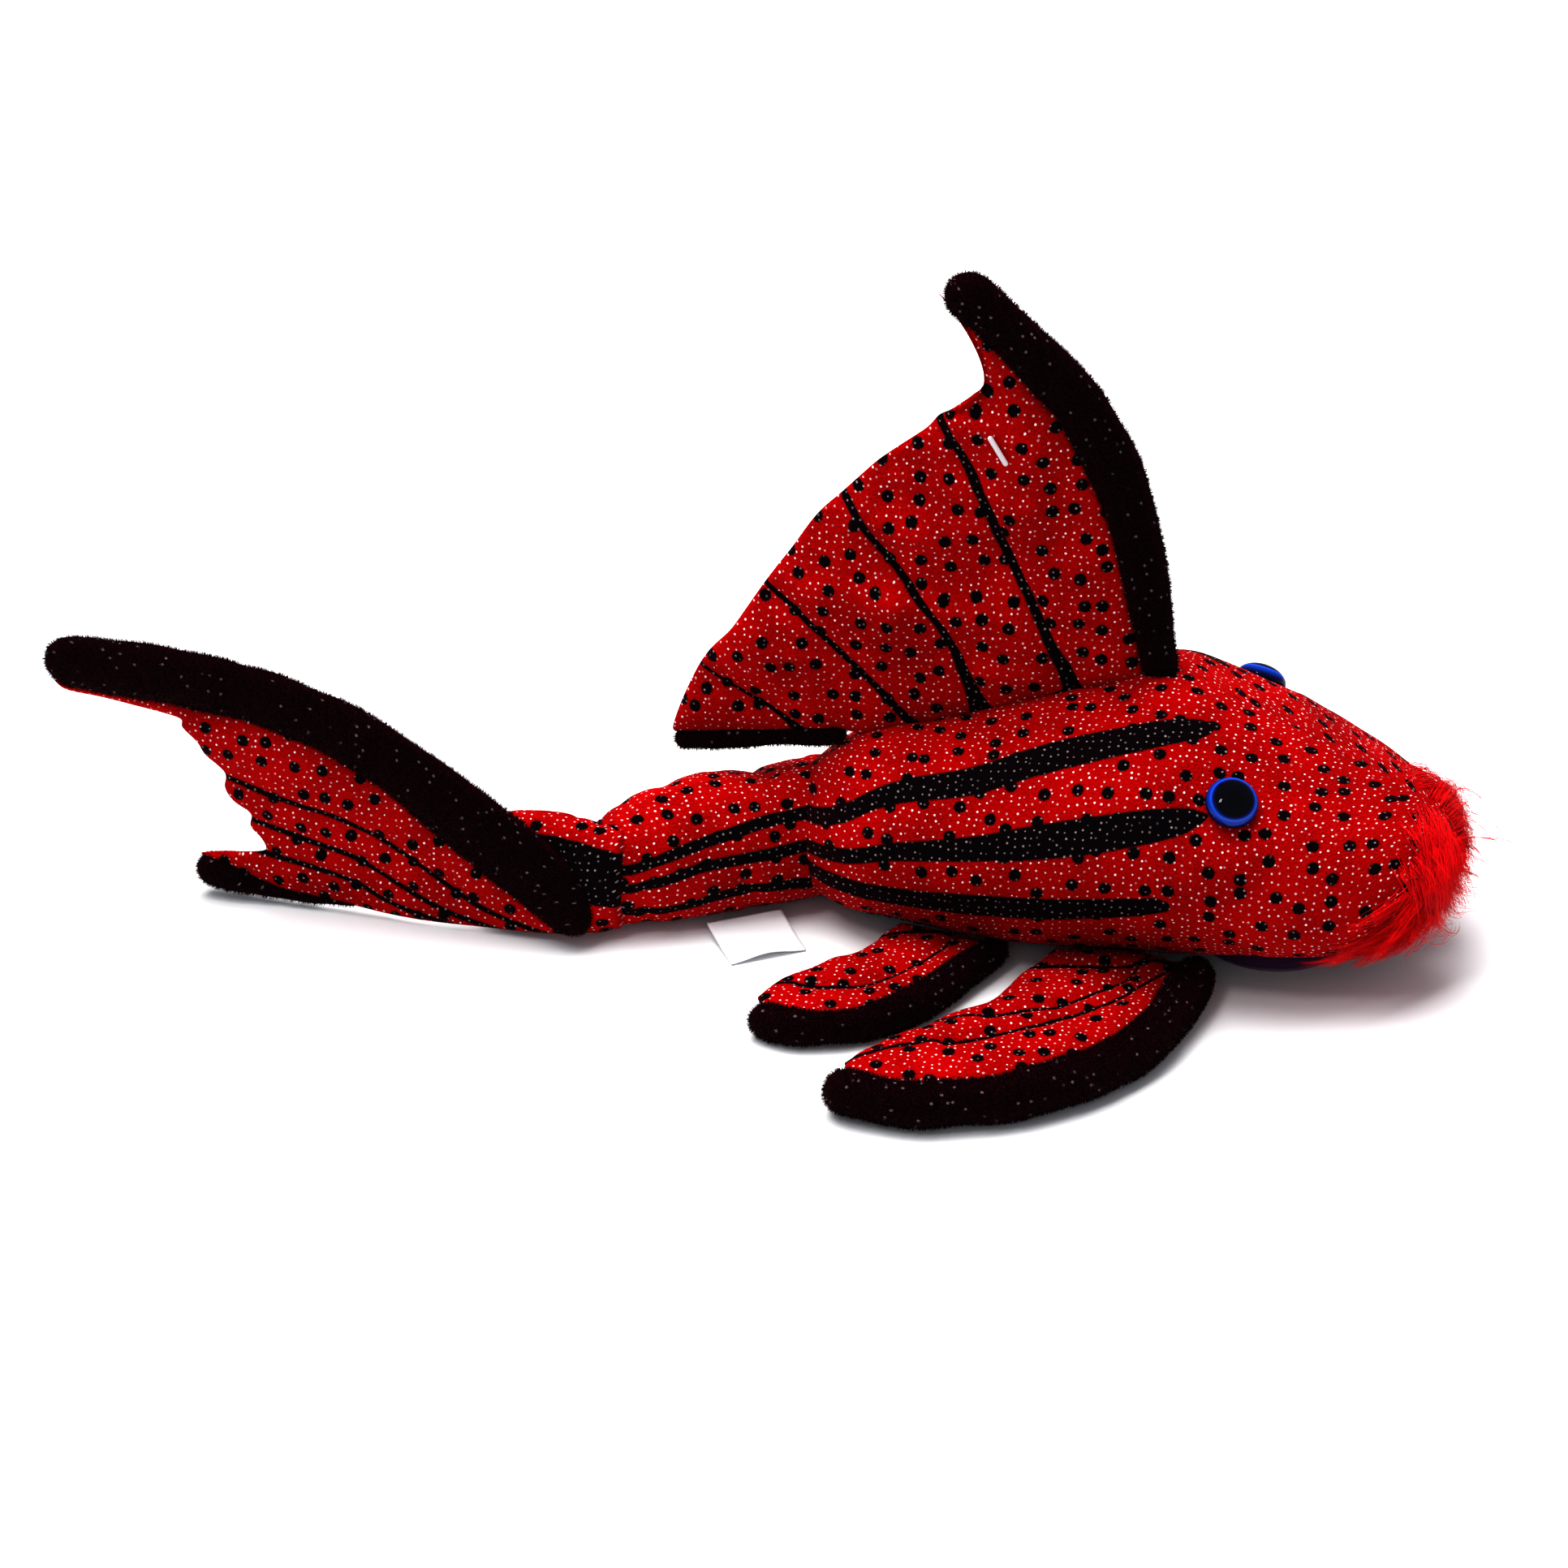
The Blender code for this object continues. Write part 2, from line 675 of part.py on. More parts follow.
def build_eyes():
    """Dome and post are one moulding; a washer inside locks it to the side panel."""
    for hand, side in (("left", 1), ("right", -1)):
        place, facing = eye_seat(side)
        profile = [(0.0, EYE_HEIGHT)]
        for angle in spread(math.pi / 2, 0.0, EYE_RINGS)[1:-1]:
            profile.append((EYE_RADIUS * math.cos(angle), EYE_HEIGHT * math.sin(angle)))
        profile.append((EYE_RADIUS, EYE_HEIGHT * EYE_RIM))
        profile.append((EYE_RADIUS, 0.0))
        profile.append((EYE_POST_RADIUS, 0.0))
        profile.append((EYE_POST_RADIUS, -EYE_POST_LENGTH))
        profile.append((0.0, -EYE_POST_LENGTH))
        add_turned("eye_" + hand, profile, place, facing, PLASTIC_BLACK, POLISHED, ROOT)
        hole = EYE_POST_RADIUS + GAP
        back = -EYE_WASHER_DEPTH
        low = back - EYE_WASHER_THICK
        ring = [(hole, back), (EYE_WASHER_RADIUS, back), (EYE_WASHER_RADIUS, low), (hole, low), (hole, back)]
        add_turned("eye_washer_" + hand, ring, place, facing, PLASTIC_WHITE, SATIN_ROUGH, ROOT)
        deep = place - facing * (EYE_POST_LENGTH + GAP)
        post_hole = add_cutter("post_hole_" + hand, deep, place + facing * EYE_HEIGHT, hole)
        cut(bpy.data.objects["body_side_" + hand], post_hole)
        floor = place + facing * (low - GAP)
        pocket_radius = EYE_WASHER_RADIUS + GAP
        pocket = add_cutter("washer_pocket_" + hand, floor, place + facing * EYE_HEIGHT, pocket_radius)
        for cutter in (post_hole, pocket):
            cut(bpy.data.objects["trunk_stuffing"], cutter)


def build_suction_cup():
    """The cup's knob is buttoned through the belly panel, so the cup can be turned."""
    swivel = pivot("suction_cup_pivot", Vector((CUP_X, 0.0, 0.0)), ROOT)
    knob_low = trunk_point(CUP_X + CUP_KNOB_RADIUS, -1.0, 1).z + SKIN + GAP
    knob_high = knob_low + CUP_KNOB_THICK
    shoulder = trunk_point(CUP_X - CUP_SHOULDER_RADIUS, -1.0, 1).z - 2 * GAP
    profile = [
        (0.0, knob_high),
        (CUP_KNOB_RADIUS * CUP_KNOB_TOP, knob_high),
        (CUP_KNOB_RADIUS, (knob_high + knob_low) / 2),
        (CUP_KNOB_RADIUS * CUP_KNOB_UNDER, knob_low),
        (CUP_NECK_RADIUS, knob_low),
        (CUP_NECK_RADIUS, shoulder),
        (CUP_SHOULDER_RADIUS, shoulder),
    ]
    profile += [(CUP_RADIUS * wide, shoulder * high) for wide, high in CUP_OUTSIDE]
    profile += [(CUP_RADIUS, CUP_LIP), (CUP_RADIUS, 0.0)]
    profile += [(CUP_RADIUS * wide, shoulder * high) for wide, high in CUP_HOLLOW]
    centre = Vector((CUP_X, 0.0, 0.0))
    up = Vector((0.0, 0.0, 1.0))
    add_turned("suction_cup", profile, centre, up, CUP_PURPLE, POLISHED, swivel, steps=32)
    below = centre + up * shoulder / 2
    hole = add_cutter("neck_hole", below, centre + up * knob_high, CUP_NECK_RADIUS + GAP)
    cut(bpy.data.objects["belly_panel"], hole)
    pocket = add_cutter("knob_pocket", below, centre + up * (knob_high + GAP), CUP_KNOB_RADIUS + GAP)
    cut(bpy.data.objects["trunk_stuffing"], pocket)


def add_sewn_body(prefix, point, table, count, body):
    """A stuffed length of two cloth panels sewn together along its top and its belly line."""
    places = spread(table[0][0], table[-1][0], count)

    def lines(place):
        return spread(-1.0, 1.0, SIDE_FACETS + 1)

    for name, side in ((prefix + "_side_left", 1), (prefix + "_side_right", -1)):
        add_node(name, shell(name, point, places, lines, side), FABRIC_RED, PILE_ROUGH, body)
    filling = closed_body(prefix + "_stuffing", point, places[1:], lines, SKIN + GAP)
    add_node(prefix + "_stuffing", filling, FILLING_WHITE, FILLING_ROUGH, body)


def build_stalk():
    stalk = pivot("tail_stalk_pivot", STALK_PIVOT, ROOT)
    point = body_point(STALK, STALK_PIVOT, STALK_BEND)
    add_sewn_body("tail_stalk", point, STALK, STALK_STATIONS, stalk)
    return stalk


def build_label(stalk):
    """A folded strip of satin sewn in at the stalk's lower right, free to flap."""
    back = rearward(STALK_BEND)
    outward = -leftward(STALK_BEND)
    up = Vector((0.0, 0.0, 1.0))
    point = body_point(STALK, STALK_PIVOT, STALK_BEND)
    start = point(LABEL_FROM, LABEL_LINE, -1) - up * (GAP * 2 + LABEL_THICK / 2)
    fall = (start.z - LABEL_LOW - LABEL_THICK / 2) / LABEL_LENGTH
    flap = pivot("care_label_pivot", start, stalk)
    faces = []
    for height in (LABEL_THICK / 2, -LABEL_THICK / 2):
        grid = []
        for along in spread(0.0, LABEL_WIDTH, LABEL_GRID[0]):
            row = []
            for across in spread(0.0, LABEL_LENGTH, LABEL_GRID[1]):
                row.append(start + back * along + outward * across + up * (height - fall * across))
            grid.append(row)
        faces.append(grid)
    add_node("care_label", slab("care_label", faces[0], faces[1]), LABEL_WHITE, SATIN_ROUGH, flap)


def build_tail(stalk):
    tail = pivot("tail_fin_pivot", TAIL_PIVOT, stalk)
    point = body_point(ROOT_TABLE, TAIL_PIVOT, -TAIL_TURN)
    add_sewn_body("tail_root", point, ROOT_TABLE, ROOT_STATIONS, tail)
    back = rearward(-TAIL_TURN)
    middle = TAIL_PIVOT - leftward(-TAIL_TURN) * TAIL_SIDE
    place = plane(middle, back, Vector((0.0, 0.0, 1.0)))
    add_border("tail_edge_upper", place, TAIL_UPPER, TAIL_THICK, tail)
    add_border("tail_edge_lower", place, TAIL_LOWER, TAIL_THICK, tail)

    def upper(share):
        return beside(TAIL_UPPER, TAIL_WEB_FROM + (TAIL_WEB_TO - TAIL_WEB_FROM) * share, -1)

    def lower(share):
        return beside(TAIL_LOWER, share, 1)

    def base(share):
        return upper(0.0) * (1 - share) + lower(0.0) * share

    def rear(share):
        return Vector(smooth([upper(1.0)] + [Vector(spot) for spot in TAIL_REAR] + [lower(1.0)], share))

    grid = web_grid(upper, lower, base, rear)
    add_web("tail_", ("web_left", "web_right"), place, grid, TAIL_PUFF, tail)


def ridge(x):
    """A point on the straight line along the back that the dorsal fin is sewn to."""
    front = trunk_point(HINGE_FRONT, 1.0, 1)
    rear = trunk_point(HINGE_REAR, 1.0, 1)
    front.y = 0.0
    rear.y = 0.0
    return front.lerp(rear, (x - HINGE_FRONT) / (HINGE_REAR - HINGE_FRONT))


def moved_with_seam(table, ends, seam_at, seam_now):
    """A fin's points, moved as far as its seam line has moved from where they were drawn."""
    rows = []
    for x, out, *rest in table:
        share = (x - ends[0]) / (ends[1] - ends[0])
        front, rear = [now - at for now, at in zip(seam_now, seam_at)]
        rows.append((x, out + front * (1 - share) + rear * share, *rest))
    return rows


def build_dorsal():
    slope = (ridge(HINGE_FRONT) - ridge(HINGE_REAR)).normalized()
    off = Vector((-slope.z, 0.0, slope.x))
    lift = off * (SEAM_RADIUS + GAP + RIDGE_CROWN)
    hinge = ridge((HINGE_FRONT + HINGE_REAR) / 2) + lift
    fin = pivot("dorsal_fin_pivot", hinge, ROOT)
    add_seam("dorsal_seam", ridge(HINGE_FRONT) + lift, ridge(HINGE_REAR) + lift, fin)
    place = plane(Vector((0.0, 0.0, 0.0)), Vector((1.0, 0.0, 0.0)), Vector((0.0, 0.0, 1.0)))
    ends = (HINGE_FRONT, HINGE_REAR)
    seam_now = [ridge(x).z for x in ends]
    front_border, rear_border, trail_spots, fastener = [
        moved_with_seam(table, ends, DORSAL_SEAM_AT, seam_now)
        for table in (DORSAL_FRONT, DORSAL_REAR_BORDER, DORSAL_TRAIL, (FASTENER_PLACE,))
    ]
    add_border("dorsal_edge_front", place, front_border, DORSAL_THICK, fin)
    add_border("dorsal_edge_rear", place, rear_border, DORSAL_THICK, fin)
    above = off * (2 * SEAM_RADIUS + 2 * GAP + RIDGE_CROWN)

    def lead(share):
        return beside(front_border, share, 1)

    def base(share):
        front = lead(0.0)
        seam_front = ridge(front.x - GAP) + above
        seam_rear = ridge(HINGE_REAR) + above
        border = [beside(rear_border, part, -1) for part in REAR_BORDER_SEWN]
        path = [front, seam_front.xz.lerp(seam_rear.xz, 0.5), seam_rear.xz] + border
        return Vector(smooth(path, share))

    def trail(share):
        return Vector(smooth([base(1.0)] + [Vector(spot) for spot in trail_spots], share))

    def tip(share):
        return lead(1.0) * (1 - share) + trail(1.0) * share

    grid = web_grid(lead, trail, base, tip)
    webs = add_web("dorsal_", ("web_right", "web_left"), place, grid, DORSAL_PUFF, fin)
    build_fastener(fastener[0], place, webs, fin)


def build_fastener(spot, place, webs, fin):
    """A moulded tag pin through the fin: a bar on the right face, a paddle on the left."""
    across = Vector((math.cos(FASTENER_SLANT), 0.0, math.sin(FASTENER_SLANT)))
    middle = place(*spot)
    face = WEB + GAP + WADDING_EDGE + DORSAL_PUFF + GAP + FASTENER_BAR_RADIUS
    right = middle + Vector((0.0, -face, 0.0))
    left = middle + Vector((0.0, face, 0.0))
    rods = (
        (right - across * FASTENER_BAR / 2, right + across * FASTENER_BAR / 2, FASTENER_BAR_RADIUS),
        (left - across * FASTENER_PADDLE / 2, left + across * FASTENER_PADDLE / 2, FASTENER_BAR_RADIUS),
        (right, left, FASTENER_STEM_RADIUS),
    )
    bar = rod_mesh("tag_fastener", *rods[0], ROD_SIDES)
    pin = add_node("tag_fastener", bar, PLASTIC_WHITE, SATIN_ROUGH, fin)
    for name, rod in (("fastener_paddle", rods[1]), ("fastener_stem", rods[2])):
        helper = bpy.data.objects.new(name, rod_mesh(name, *rod, ROD_SIDES))
        helper.hide_render = True
        helper.display_type = "WIRE"
        helper.parent = ROOT
        CUTTERS.objects.link(helper)
        join = pin.modifiers.new(name, "BOOLEAN")
        join.operation = "UNION"
        join.object = helper
    hole = add_cutter("fastener_hole", right * 2 - middle, left * 2 - middle, FASTENER_STEM_RADIUS + GAP)
    for web in webs:
        cut(web, hole)


def build_paired_fins():
    """Pectoral and pelvic fins lie flat beside the belly and are sewn in at its lower seam."""
    kinds = (
        (
            "pectoral",
            PECTORAL_SEAM_AT,
            PECTORAL_HEIGHT,
            PECTORAL_BASE,
            PECTORAL_EDGE,
            PECTORAL_TRAIL,
            PECTORAL_THICK,
            PECTORAL_PUFF,
        ),
        (
            "pelvic",
            PELVIC_SEAM_AT,
            PELVIC_HEIGHT,
            PELVIC_BASE,
            PELVIC_EDGE,
            PELVIC_TRAIL,
            PELVIC_THICK,
            PELVIC_PUFF,
        ),
    )
    for kind in kinds:
        for hand, side in (("left", 1), ("right", -1)):
            add_paired_fin(kind[0] + "_" + hand, side, *kind[1:])


def belly_width(x, height):
    """Half the trunk's width at a height under its widest line."""
    low = -1.0
    high = 0.0
    for _ in range(30):
        line = (low + high) / 2
        if trunk_point(x, line, 1).z < height:
            low = line
        else:
            high = line
    return trunk_point(x, high, 1).y


def seam_line(base_ends, height, side):
    """The two ends of a fin's straight seam, which just clears the curved belly between them."""
    reach = height + SEAM_RADIUS
    front, rear = [belly_width(x, reach) for x in base_ends]
    swell = 0.0
    for share in spread(0.0, 1.0, 9):
        x = base_ends[0] + (base_ends[1] - base_ends[0]) * share
        swell = max(swell, belly_width(x, reach) - front - (rear - front) * share)
    clear = swell + GAP + SEAM_RADIUS
    return [
        Vector((base_ends[0], side * (front + clear), height)),
        Vector((base_ends[1], side * (rear + clear), height)),
    ]


def add_paired_fin(name, side, seam_at, height, base_ends, edge, trail_spots, thick, puff):
    ends = seam_line(base_ends, height, side)
    seam_now = [abs(end.y) for end in ends]
    edge = moved_with_seam(edge, base_ends, seam_at, seam_now)
    trail_spots = moved_with_seam(trail_spots, base_ends, seam_at, seam_now)
    fin = pivot(name + "_pivot", (ends[0] + ends[1]) / 2, ROOT)
    add_seam(name + "_seam", ends[0], ends[1], fin)
    place = plane(
        Vector((0.0, 0.0, height)), Vector((1.0, 0.0, 0.0)), Vector((0.0, float(side), 0.0))
    )
    add_border(name + "_edge", place, edge, thick, fin)
    clear = SEAM_RADIUS + GAP

    def lead(share):
        return beside(edge, EDGE_FROM + (EDGE_TO - EDGE_FROM) * share, 1)

    def base(share):
        front = lead(0.0)
        rear = Vector((base_ends[1], abs(ends[1].y) + clear))
        return front * (1 - share) + rear * share

    def trail(share):
        return Vector(smooth([base(1.0)] + [Vector(spot) for spot in trail_spots], share))

    def tip(share):
        return lead(1.0) * (1 - share) + trail(1.0) * share

    names = ("web_upper", "web_lower") if side > 0 else ("web_lower", "web_upper")
    add_web(name + "_", names, place, web_grid(lead, trail, base, tip), puff, fin)


def stand_on_origin():
    """Moves the whole object so that the middle of its box stands on the origin."""
    bpy.context.view_layer.update()
    graph = bpy.context.evaluated_depsgraph_get()
    corners = []
    for obj in PARTS.objects:
        if obj.type == "MESH":
            seen = obj.evaluated_get(graph)
            corners += [seen.matrix_world @ Vector(corner) for corner in seen.bound_box]
    for axis in range(3):
        values = [corner[axis] for corner in corners]
        middle = min(values) if axis == 2 else (min(values) + max(values)) / 2
        ROOT.location[axis] = -middle


def main():
    build_trunk()
    build_mouth()
    build_eyes()
    build_suction_cup()
    stalk = build_stalk()
    build_label(stalk)
    build_tail(stalk)
    build_dorsal()
    build_paired_fins()
    stand_on_origin()


main()
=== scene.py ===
"""Visual model of a stuffed plush suckermouth catfish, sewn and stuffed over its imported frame."""

import math

import bpy
import numpy as np
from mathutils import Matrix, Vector, noise


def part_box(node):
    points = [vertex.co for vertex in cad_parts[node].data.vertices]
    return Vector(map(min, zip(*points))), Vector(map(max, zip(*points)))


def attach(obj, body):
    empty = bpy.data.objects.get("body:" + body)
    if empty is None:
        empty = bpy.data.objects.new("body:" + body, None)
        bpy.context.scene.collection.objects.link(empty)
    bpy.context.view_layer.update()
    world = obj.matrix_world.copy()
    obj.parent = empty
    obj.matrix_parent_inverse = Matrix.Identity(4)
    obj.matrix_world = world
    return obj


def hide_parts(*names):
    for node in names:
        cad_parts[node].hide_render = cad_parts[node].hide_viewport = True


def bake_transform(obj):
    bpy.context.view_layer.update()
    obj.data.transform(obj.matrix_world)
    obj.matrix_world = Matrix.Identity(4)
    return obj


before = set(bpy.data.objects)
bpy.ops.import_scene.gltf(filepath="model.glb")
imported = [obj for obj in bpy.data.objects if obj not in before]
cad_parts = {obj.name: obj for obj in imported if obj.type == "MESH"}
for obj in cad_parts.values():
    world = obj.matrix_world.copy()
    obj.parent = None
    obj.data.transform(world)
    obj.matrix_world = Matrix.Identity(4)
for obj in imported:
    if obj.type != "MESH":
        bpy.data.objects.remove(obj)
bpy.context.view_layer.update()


# ---- The studio
# A pale table top under a big soft overhead light, a fill from the front, and two narrow
# window-like lights that the glossy eyes mirror. The camera looks down on the fish's right side.
VIEW_TURN = math.radians(12)
VIEW_DROP = math.radians(28)
VIEW_DISTANCE = 1.1
VIEW_MIDDLE = (-0.13609, -0.00906, 0.03655)
LENS = 91.1

cup_low, cup_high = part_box("suction_cup")
# All sizes below are measured from here: under the middle of the suction cup, on the table.
CUP_MIDDLE = Vector(((cup_low.x + cup_high.x) / 2, (cup_low.y + cup_high.y) / 2, 0.0))


def area_light(name, place, aim, width, height, power, tint):
    lamp = bpy.data.lights.new(name, "AREA")
    lamp.shape = "RECTANGLE"
    lamp.size = width
    lamp.size_y = height
    lamp.energy = power
    lamp.color = tint
    light = bpy.data.objects.new(name, lamp)
    bpy.context.scene.collection.objects.link(light)
    light.location = CUP_MIDDLE + Vector(place)
    toward = CUP_MIDDLE + Vector(aim) - light.location
    light.rotation_euler = toward.to_track_quat("-Z", "Y").to_euler()


area_light("overhead", (-0.30, 0.16, 1.20), (-0.12, 0.0, 0.0), 1.3, 1.0, 25.0, (1.0, 0.985, 0.97))
area_light("front_fill", (0.15, -1.5, 0.75), (-0.12, 0.0, 0.03), 1.2, 0.7, 1.4, (0.97, 0.98, 1.0))
for soft_light in ("overhead", "front_fill"):
    bpy.data.objects[soft_light].visible_glossy = False
for lamp_number, lamp_x in enumerate((-0.56, -0.44)):
    area_light(
        f"window_{lamp_number}", (lamp_x, -0.80, 1.30), (0.0, 0.0, 0.05), 0.022, 0.30, 1.4, (1.0, 1.0, 1.0)
    )

sky = bpy.data.worlds.new("studio_air")
sky.use_nodes = True
sky.node_tree.nodes["Background"].inputs["Color"].default_value = (0.93, 0.95, 1.0, 1.0)
sky.node_tree.nodes["Background"].inputs["Strength"].default_value = 0.34
bpy.context.scene.world = sky
bpy.context.scene.view_settings.view_transform = "Standard"
bpy.context.scene.view_settings.look = "High Contrast"

table_mesh = bpy.data.meshes.new("table_top")
table_mesh.from_pydata([(-4, -4, 0), (4, -4, 0), (4, 5, 0), (-4, 5, 0)], [], [(0, 1, 2, 3)])
table_top = bpy.data.objects.new("table_top", table_mesh)
bpy.context.scene.collection.objects.link(table_top)
laminate = bpy.data.materials.new("pale_laminate")
laminate.use_nodes = True
laminate.node_tree.nodes["Principled BSDF"].inputs["Base Color"].default_value = (0.86, 0.865, 0.88, 1)
laminate.node_tree.nodes["Principled BSDF"].inputs["Roughness"].default_value = 0.6
table_mesh.materials.append(laminate)

camera_data = bpy.data.cameras.new("camera")
camera_data.lens = LENS
camera = bpy.data.objects.new("camera", camera_data)
bpy.context.scene.collection.objects.link(camera)
backward = Vector(
    (
        math.sin(VIEW_TURN) * math.cos(VIEW_DROP),
        -math.cos(VIEW_TURN) * math.cos(VIEW_DROP),
        math.sin(VIEW_DROP),
    )
)
camera.location = CUP_MIDDLE + Vector(VIEW_MIDDLE) + backward * VIEW_DISTANCE
camera.rotation_euler = (-backward).to_track_quat("-Z", "Y").to_euler()
bpy.context.scene.camera = camera


# ---- Body cover
# Two side panels of short red pile, printed with black dots, three black bands and small foil
# specks, sewn together along the back and stuffed hard with fibre. Rows give, from tail to
# snout: place, underside, ridge, half width, height of the widest line.
BODY_ROWS = (
    (-0.1335, 0.0150, 0.0290, 0.0040, 0.0210),
    (-0.1322, 0.0105, 0.0345, 0.0110, 0.0215),
    (-0.1285, 0.0062, 0.0400, 0.0190, 0.0225),
    (-0.1230, 0.0036, 0.0450, 0.0258, 0.0238),
    (-0.1164, 0.0022, 0.0500, 0.0310, 0.0250),
    (-0.1000, 0.0012, 0.0555, 0.0360, 0.0262),
    (-0.0810, 0.0005, 0.0622, 0.0415, 0.0280),
    (-0.0550, 0.0008, 0.0705, 0.0460, 0.0320),
    (-0.0300, 0.0027, 0.0780, 0.0482, 0.0350),
    (-0.0080, 0.0052, 0.0698, 0.0490, 0.0345),
    (0.0080, 0.0066, 0.0618, 0.0470, 0.0335),
    (0.0200, 0.0080, 0.0560, 0.0428, 0.0325),
    (0.0310, 0.0110, 0.0505, 0.0360, 0.0315),
    (0.0400, 0.0160, 0.0455, 0.0270, 0.0310),
    (0.0460, 0.0230, 0.0395, 0.0150, 0.0310),
    (0.0474, 0.0270, 0.0355, 0.0080, 0.0310),
    (0.0480, 0.0300, 0.0325, 0.0020, 0.0310),
)
BACK_FULLNESS = 2.1
BELLY_FULLNESS = 2.3
BELLY_SEAM_HEIGHT = -0.58
SEAM_SINK = 0.0011
SEAM_SPREAD = 0.0016
BODY_RINGS = 210
BODY_ROUND = 168
# Printed bands: place, height of the middle, half width
BODY_BANDS = (
    (
        (-0.0168, 0.0716, -0.001),
        (-0.0185, 0.0718, 0.0024),
        (-0.0240, 0.0725, 0.0040),
        (-0.0370, 0.0706, 0.0048),
        (-0.0587, 0.0627, 0.0050),
        (-0.0803, 0.0541, 0.0045),
        (-0.1025, 0.0461, 0.0035),
        (-0.1230, 0.0350, 0.0026),
        (-0.1330, 0.0300, 0.0020),
    ),
    (
        (-0.0150, 0.0574, -0.001),
        (-0.0180, 0.0566, 0.0022),
        (-0.0240, 0.0552, 0.0040),
        (-0.0340, 0.0527, 0.0048),
        (-0.0555, 0.0462, 0.0050),
        (-0.0776, 0.0396, 0.0036),
        (-0.1005, 0.0331, 0.0026),
        (-0.1180, 0.0275, 0.0022),
        (-0.1330, 0.0230, 0.0018),
    ),
    (
        (-0.0232, 0.0328, -0.001),
        (-0.0250, 0.0328, 0.0018),
        (-0.0330, 0.0312, 0.0030),
        (-0.0545, 0.0268, 0.0036),
        (-0.0770, 0.0232, 0.0036),
        (-0.1003, 0.0195, 0.0033),
        (-0.1150, 0.0195, 0.0028),
        (-0.1330, 0.0180, 0.0020),
    ),
)


def sizes_at(rows, place):
    """A smooth run of each size through its rows."""
    table = np.array(rows)
    at = table[:, 0]
    slope = np.gradient(table, at, axis=0)
    i = int(np.clip(np.searchsorted(at, place) - 1, 0, len(at) - 2))
    step = at[i + 1] - at[i]
    t = (place - at[i]) / step
    ends = table[i] * (2 * t**3 - 3 * t**2 + 1) + table[i + 1] * (3 * t**2 - 2 * t**3)
    return (ends + step * (slope[i] * (t**3 - 2 * t**2 + t) + slope[i + 1] * (t**3 - t**2)))[1:]


def girth(sizes, count):
    """Points (across, height) round a stuffed body, from the ridge down its left side, under
    it and up its right, and the length of cloth from the widest line to each, up positive."""
    bottom, top, half_width, widest = sizes
    turn = np.linspace(0, 2 * math.pi, count + 1)
    up = np.cos(turn)
    out = np.sin(turn)
    full = np.where(up > 0, 2 / BACK_FULLNESS, 2 / BELLY_FULLNESS)
    across = half_width * np.sign(out) * np.abs(out) ** full
    height = widest + np.where(up > 0, top - widest, widest - bottom) * np.sign(up) * np.abs(up) ** full
    run = np.concatenate([[0], np.cumsum(np.hypot(np.diff(across), np.diff(height)))])
    quarter = count // 4
    cloth = np.where(turn <= math.pi, run[quarter] - run, run - run[3 * quarter])
    return across, height, cloth


def cloth_height(sizes, height):
    """The length of cloth from the widest line to a height on the side."""
    _, heights, cloth = girth(sizes, 720)
    return float(np.interp(height, heights[:361][::-1], cloth[:361][::-1]))


def wrapped(name, rings, marks):
    """A closed cover through rings of points. marks gives each point's place on the print, with
    one column more than the rings, and the two halves of a ring use different cloth for dots."""
    rows, count = rings.shape[:2]
    i, j = [grid.ravel() for grid in np.meshgrid(np.arange(rows - 1), np.arange(count), indexing="ij")]
    down = np.stack([i, i + 1, i + 1, i], 1)
    along = np.stack([j, j, j + 1, j + 1], 1)
    quads = down * count + along % count
    flat = rings.reshape(-1, 3)
    a, b, c, d = (flat[quads[:, k]] for k in range(4))
    volume = np.einsum("ij,ij->", a, np.cross(b, c)) + np.einsum("ij,ij->", a, np.cross(c, d))
    # Each open end is closed across, from one half of its ring to the other.
    near = np.arange(count // 2 - 1)
    first = np.stack([near, near + 1, count - 2 - near, count - 1 - near], 1)
    last = first[:, ::-1] + (rows - 1) * count
    if volume < 0:
        quads, down, along = quads[:, ::-1], down[:, ::-1], along[:, ::-1]
        first, last = first[:, ::-1], last[:, ::-1]
    mesh = bpy.data.meshes.new(name)
    mesh.from_pydata(flat.tolist(), [], np.concatenate([quads, first, last]).tolist())
    places = marks[down, along].reshape(-1, 2)
    caps = [marks[0, first.ravel()], marks[-1, last.ravel() - (rows - 1) * count]]
    half = np.repeat(j >= count // 2, 4)[:, None] * np.array([0.5, 0.31])
    for layer, values in (("print", places), ("dots", places + half)):
        uv = mesh.uv_layers.new(name=layer)
        uv.data.foreach_set("uv", np.concatenate([values, *caps]).astype(np.float32).ravel())
    mesh.shade_smooth()
    return mesh


def add_piece(name, mesh, finish, body, stands_for=()):
    """Puts a piece in the scene in its finish, riding on a body in place of its plain solids."""
    piece = bpy.data.objects.new(name, mesh)
    bpy.context.scene.collection.objects.link(piece)
    mesh.materials.clear()
    mesh.materials.append(finish)
    if stands_for:
        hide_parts(*stands_for)
    if body is not None:
        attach(piece, body)
    return piece


def uneven(mesh, size, depth, seed=0.0):
    """Hand-stuffed lumps and hollows: moves each point along its normal."""
    normals = [normal.vector.copy() for normal in mesh.vertex_normals]
    for vertex, normal in zip(mesh.vertices, normals):
        spot = vertex.co / size + Vector((seed, seed * 0.7, -seed))
        vertex.co += normal * (depth * noise.noise(spot))


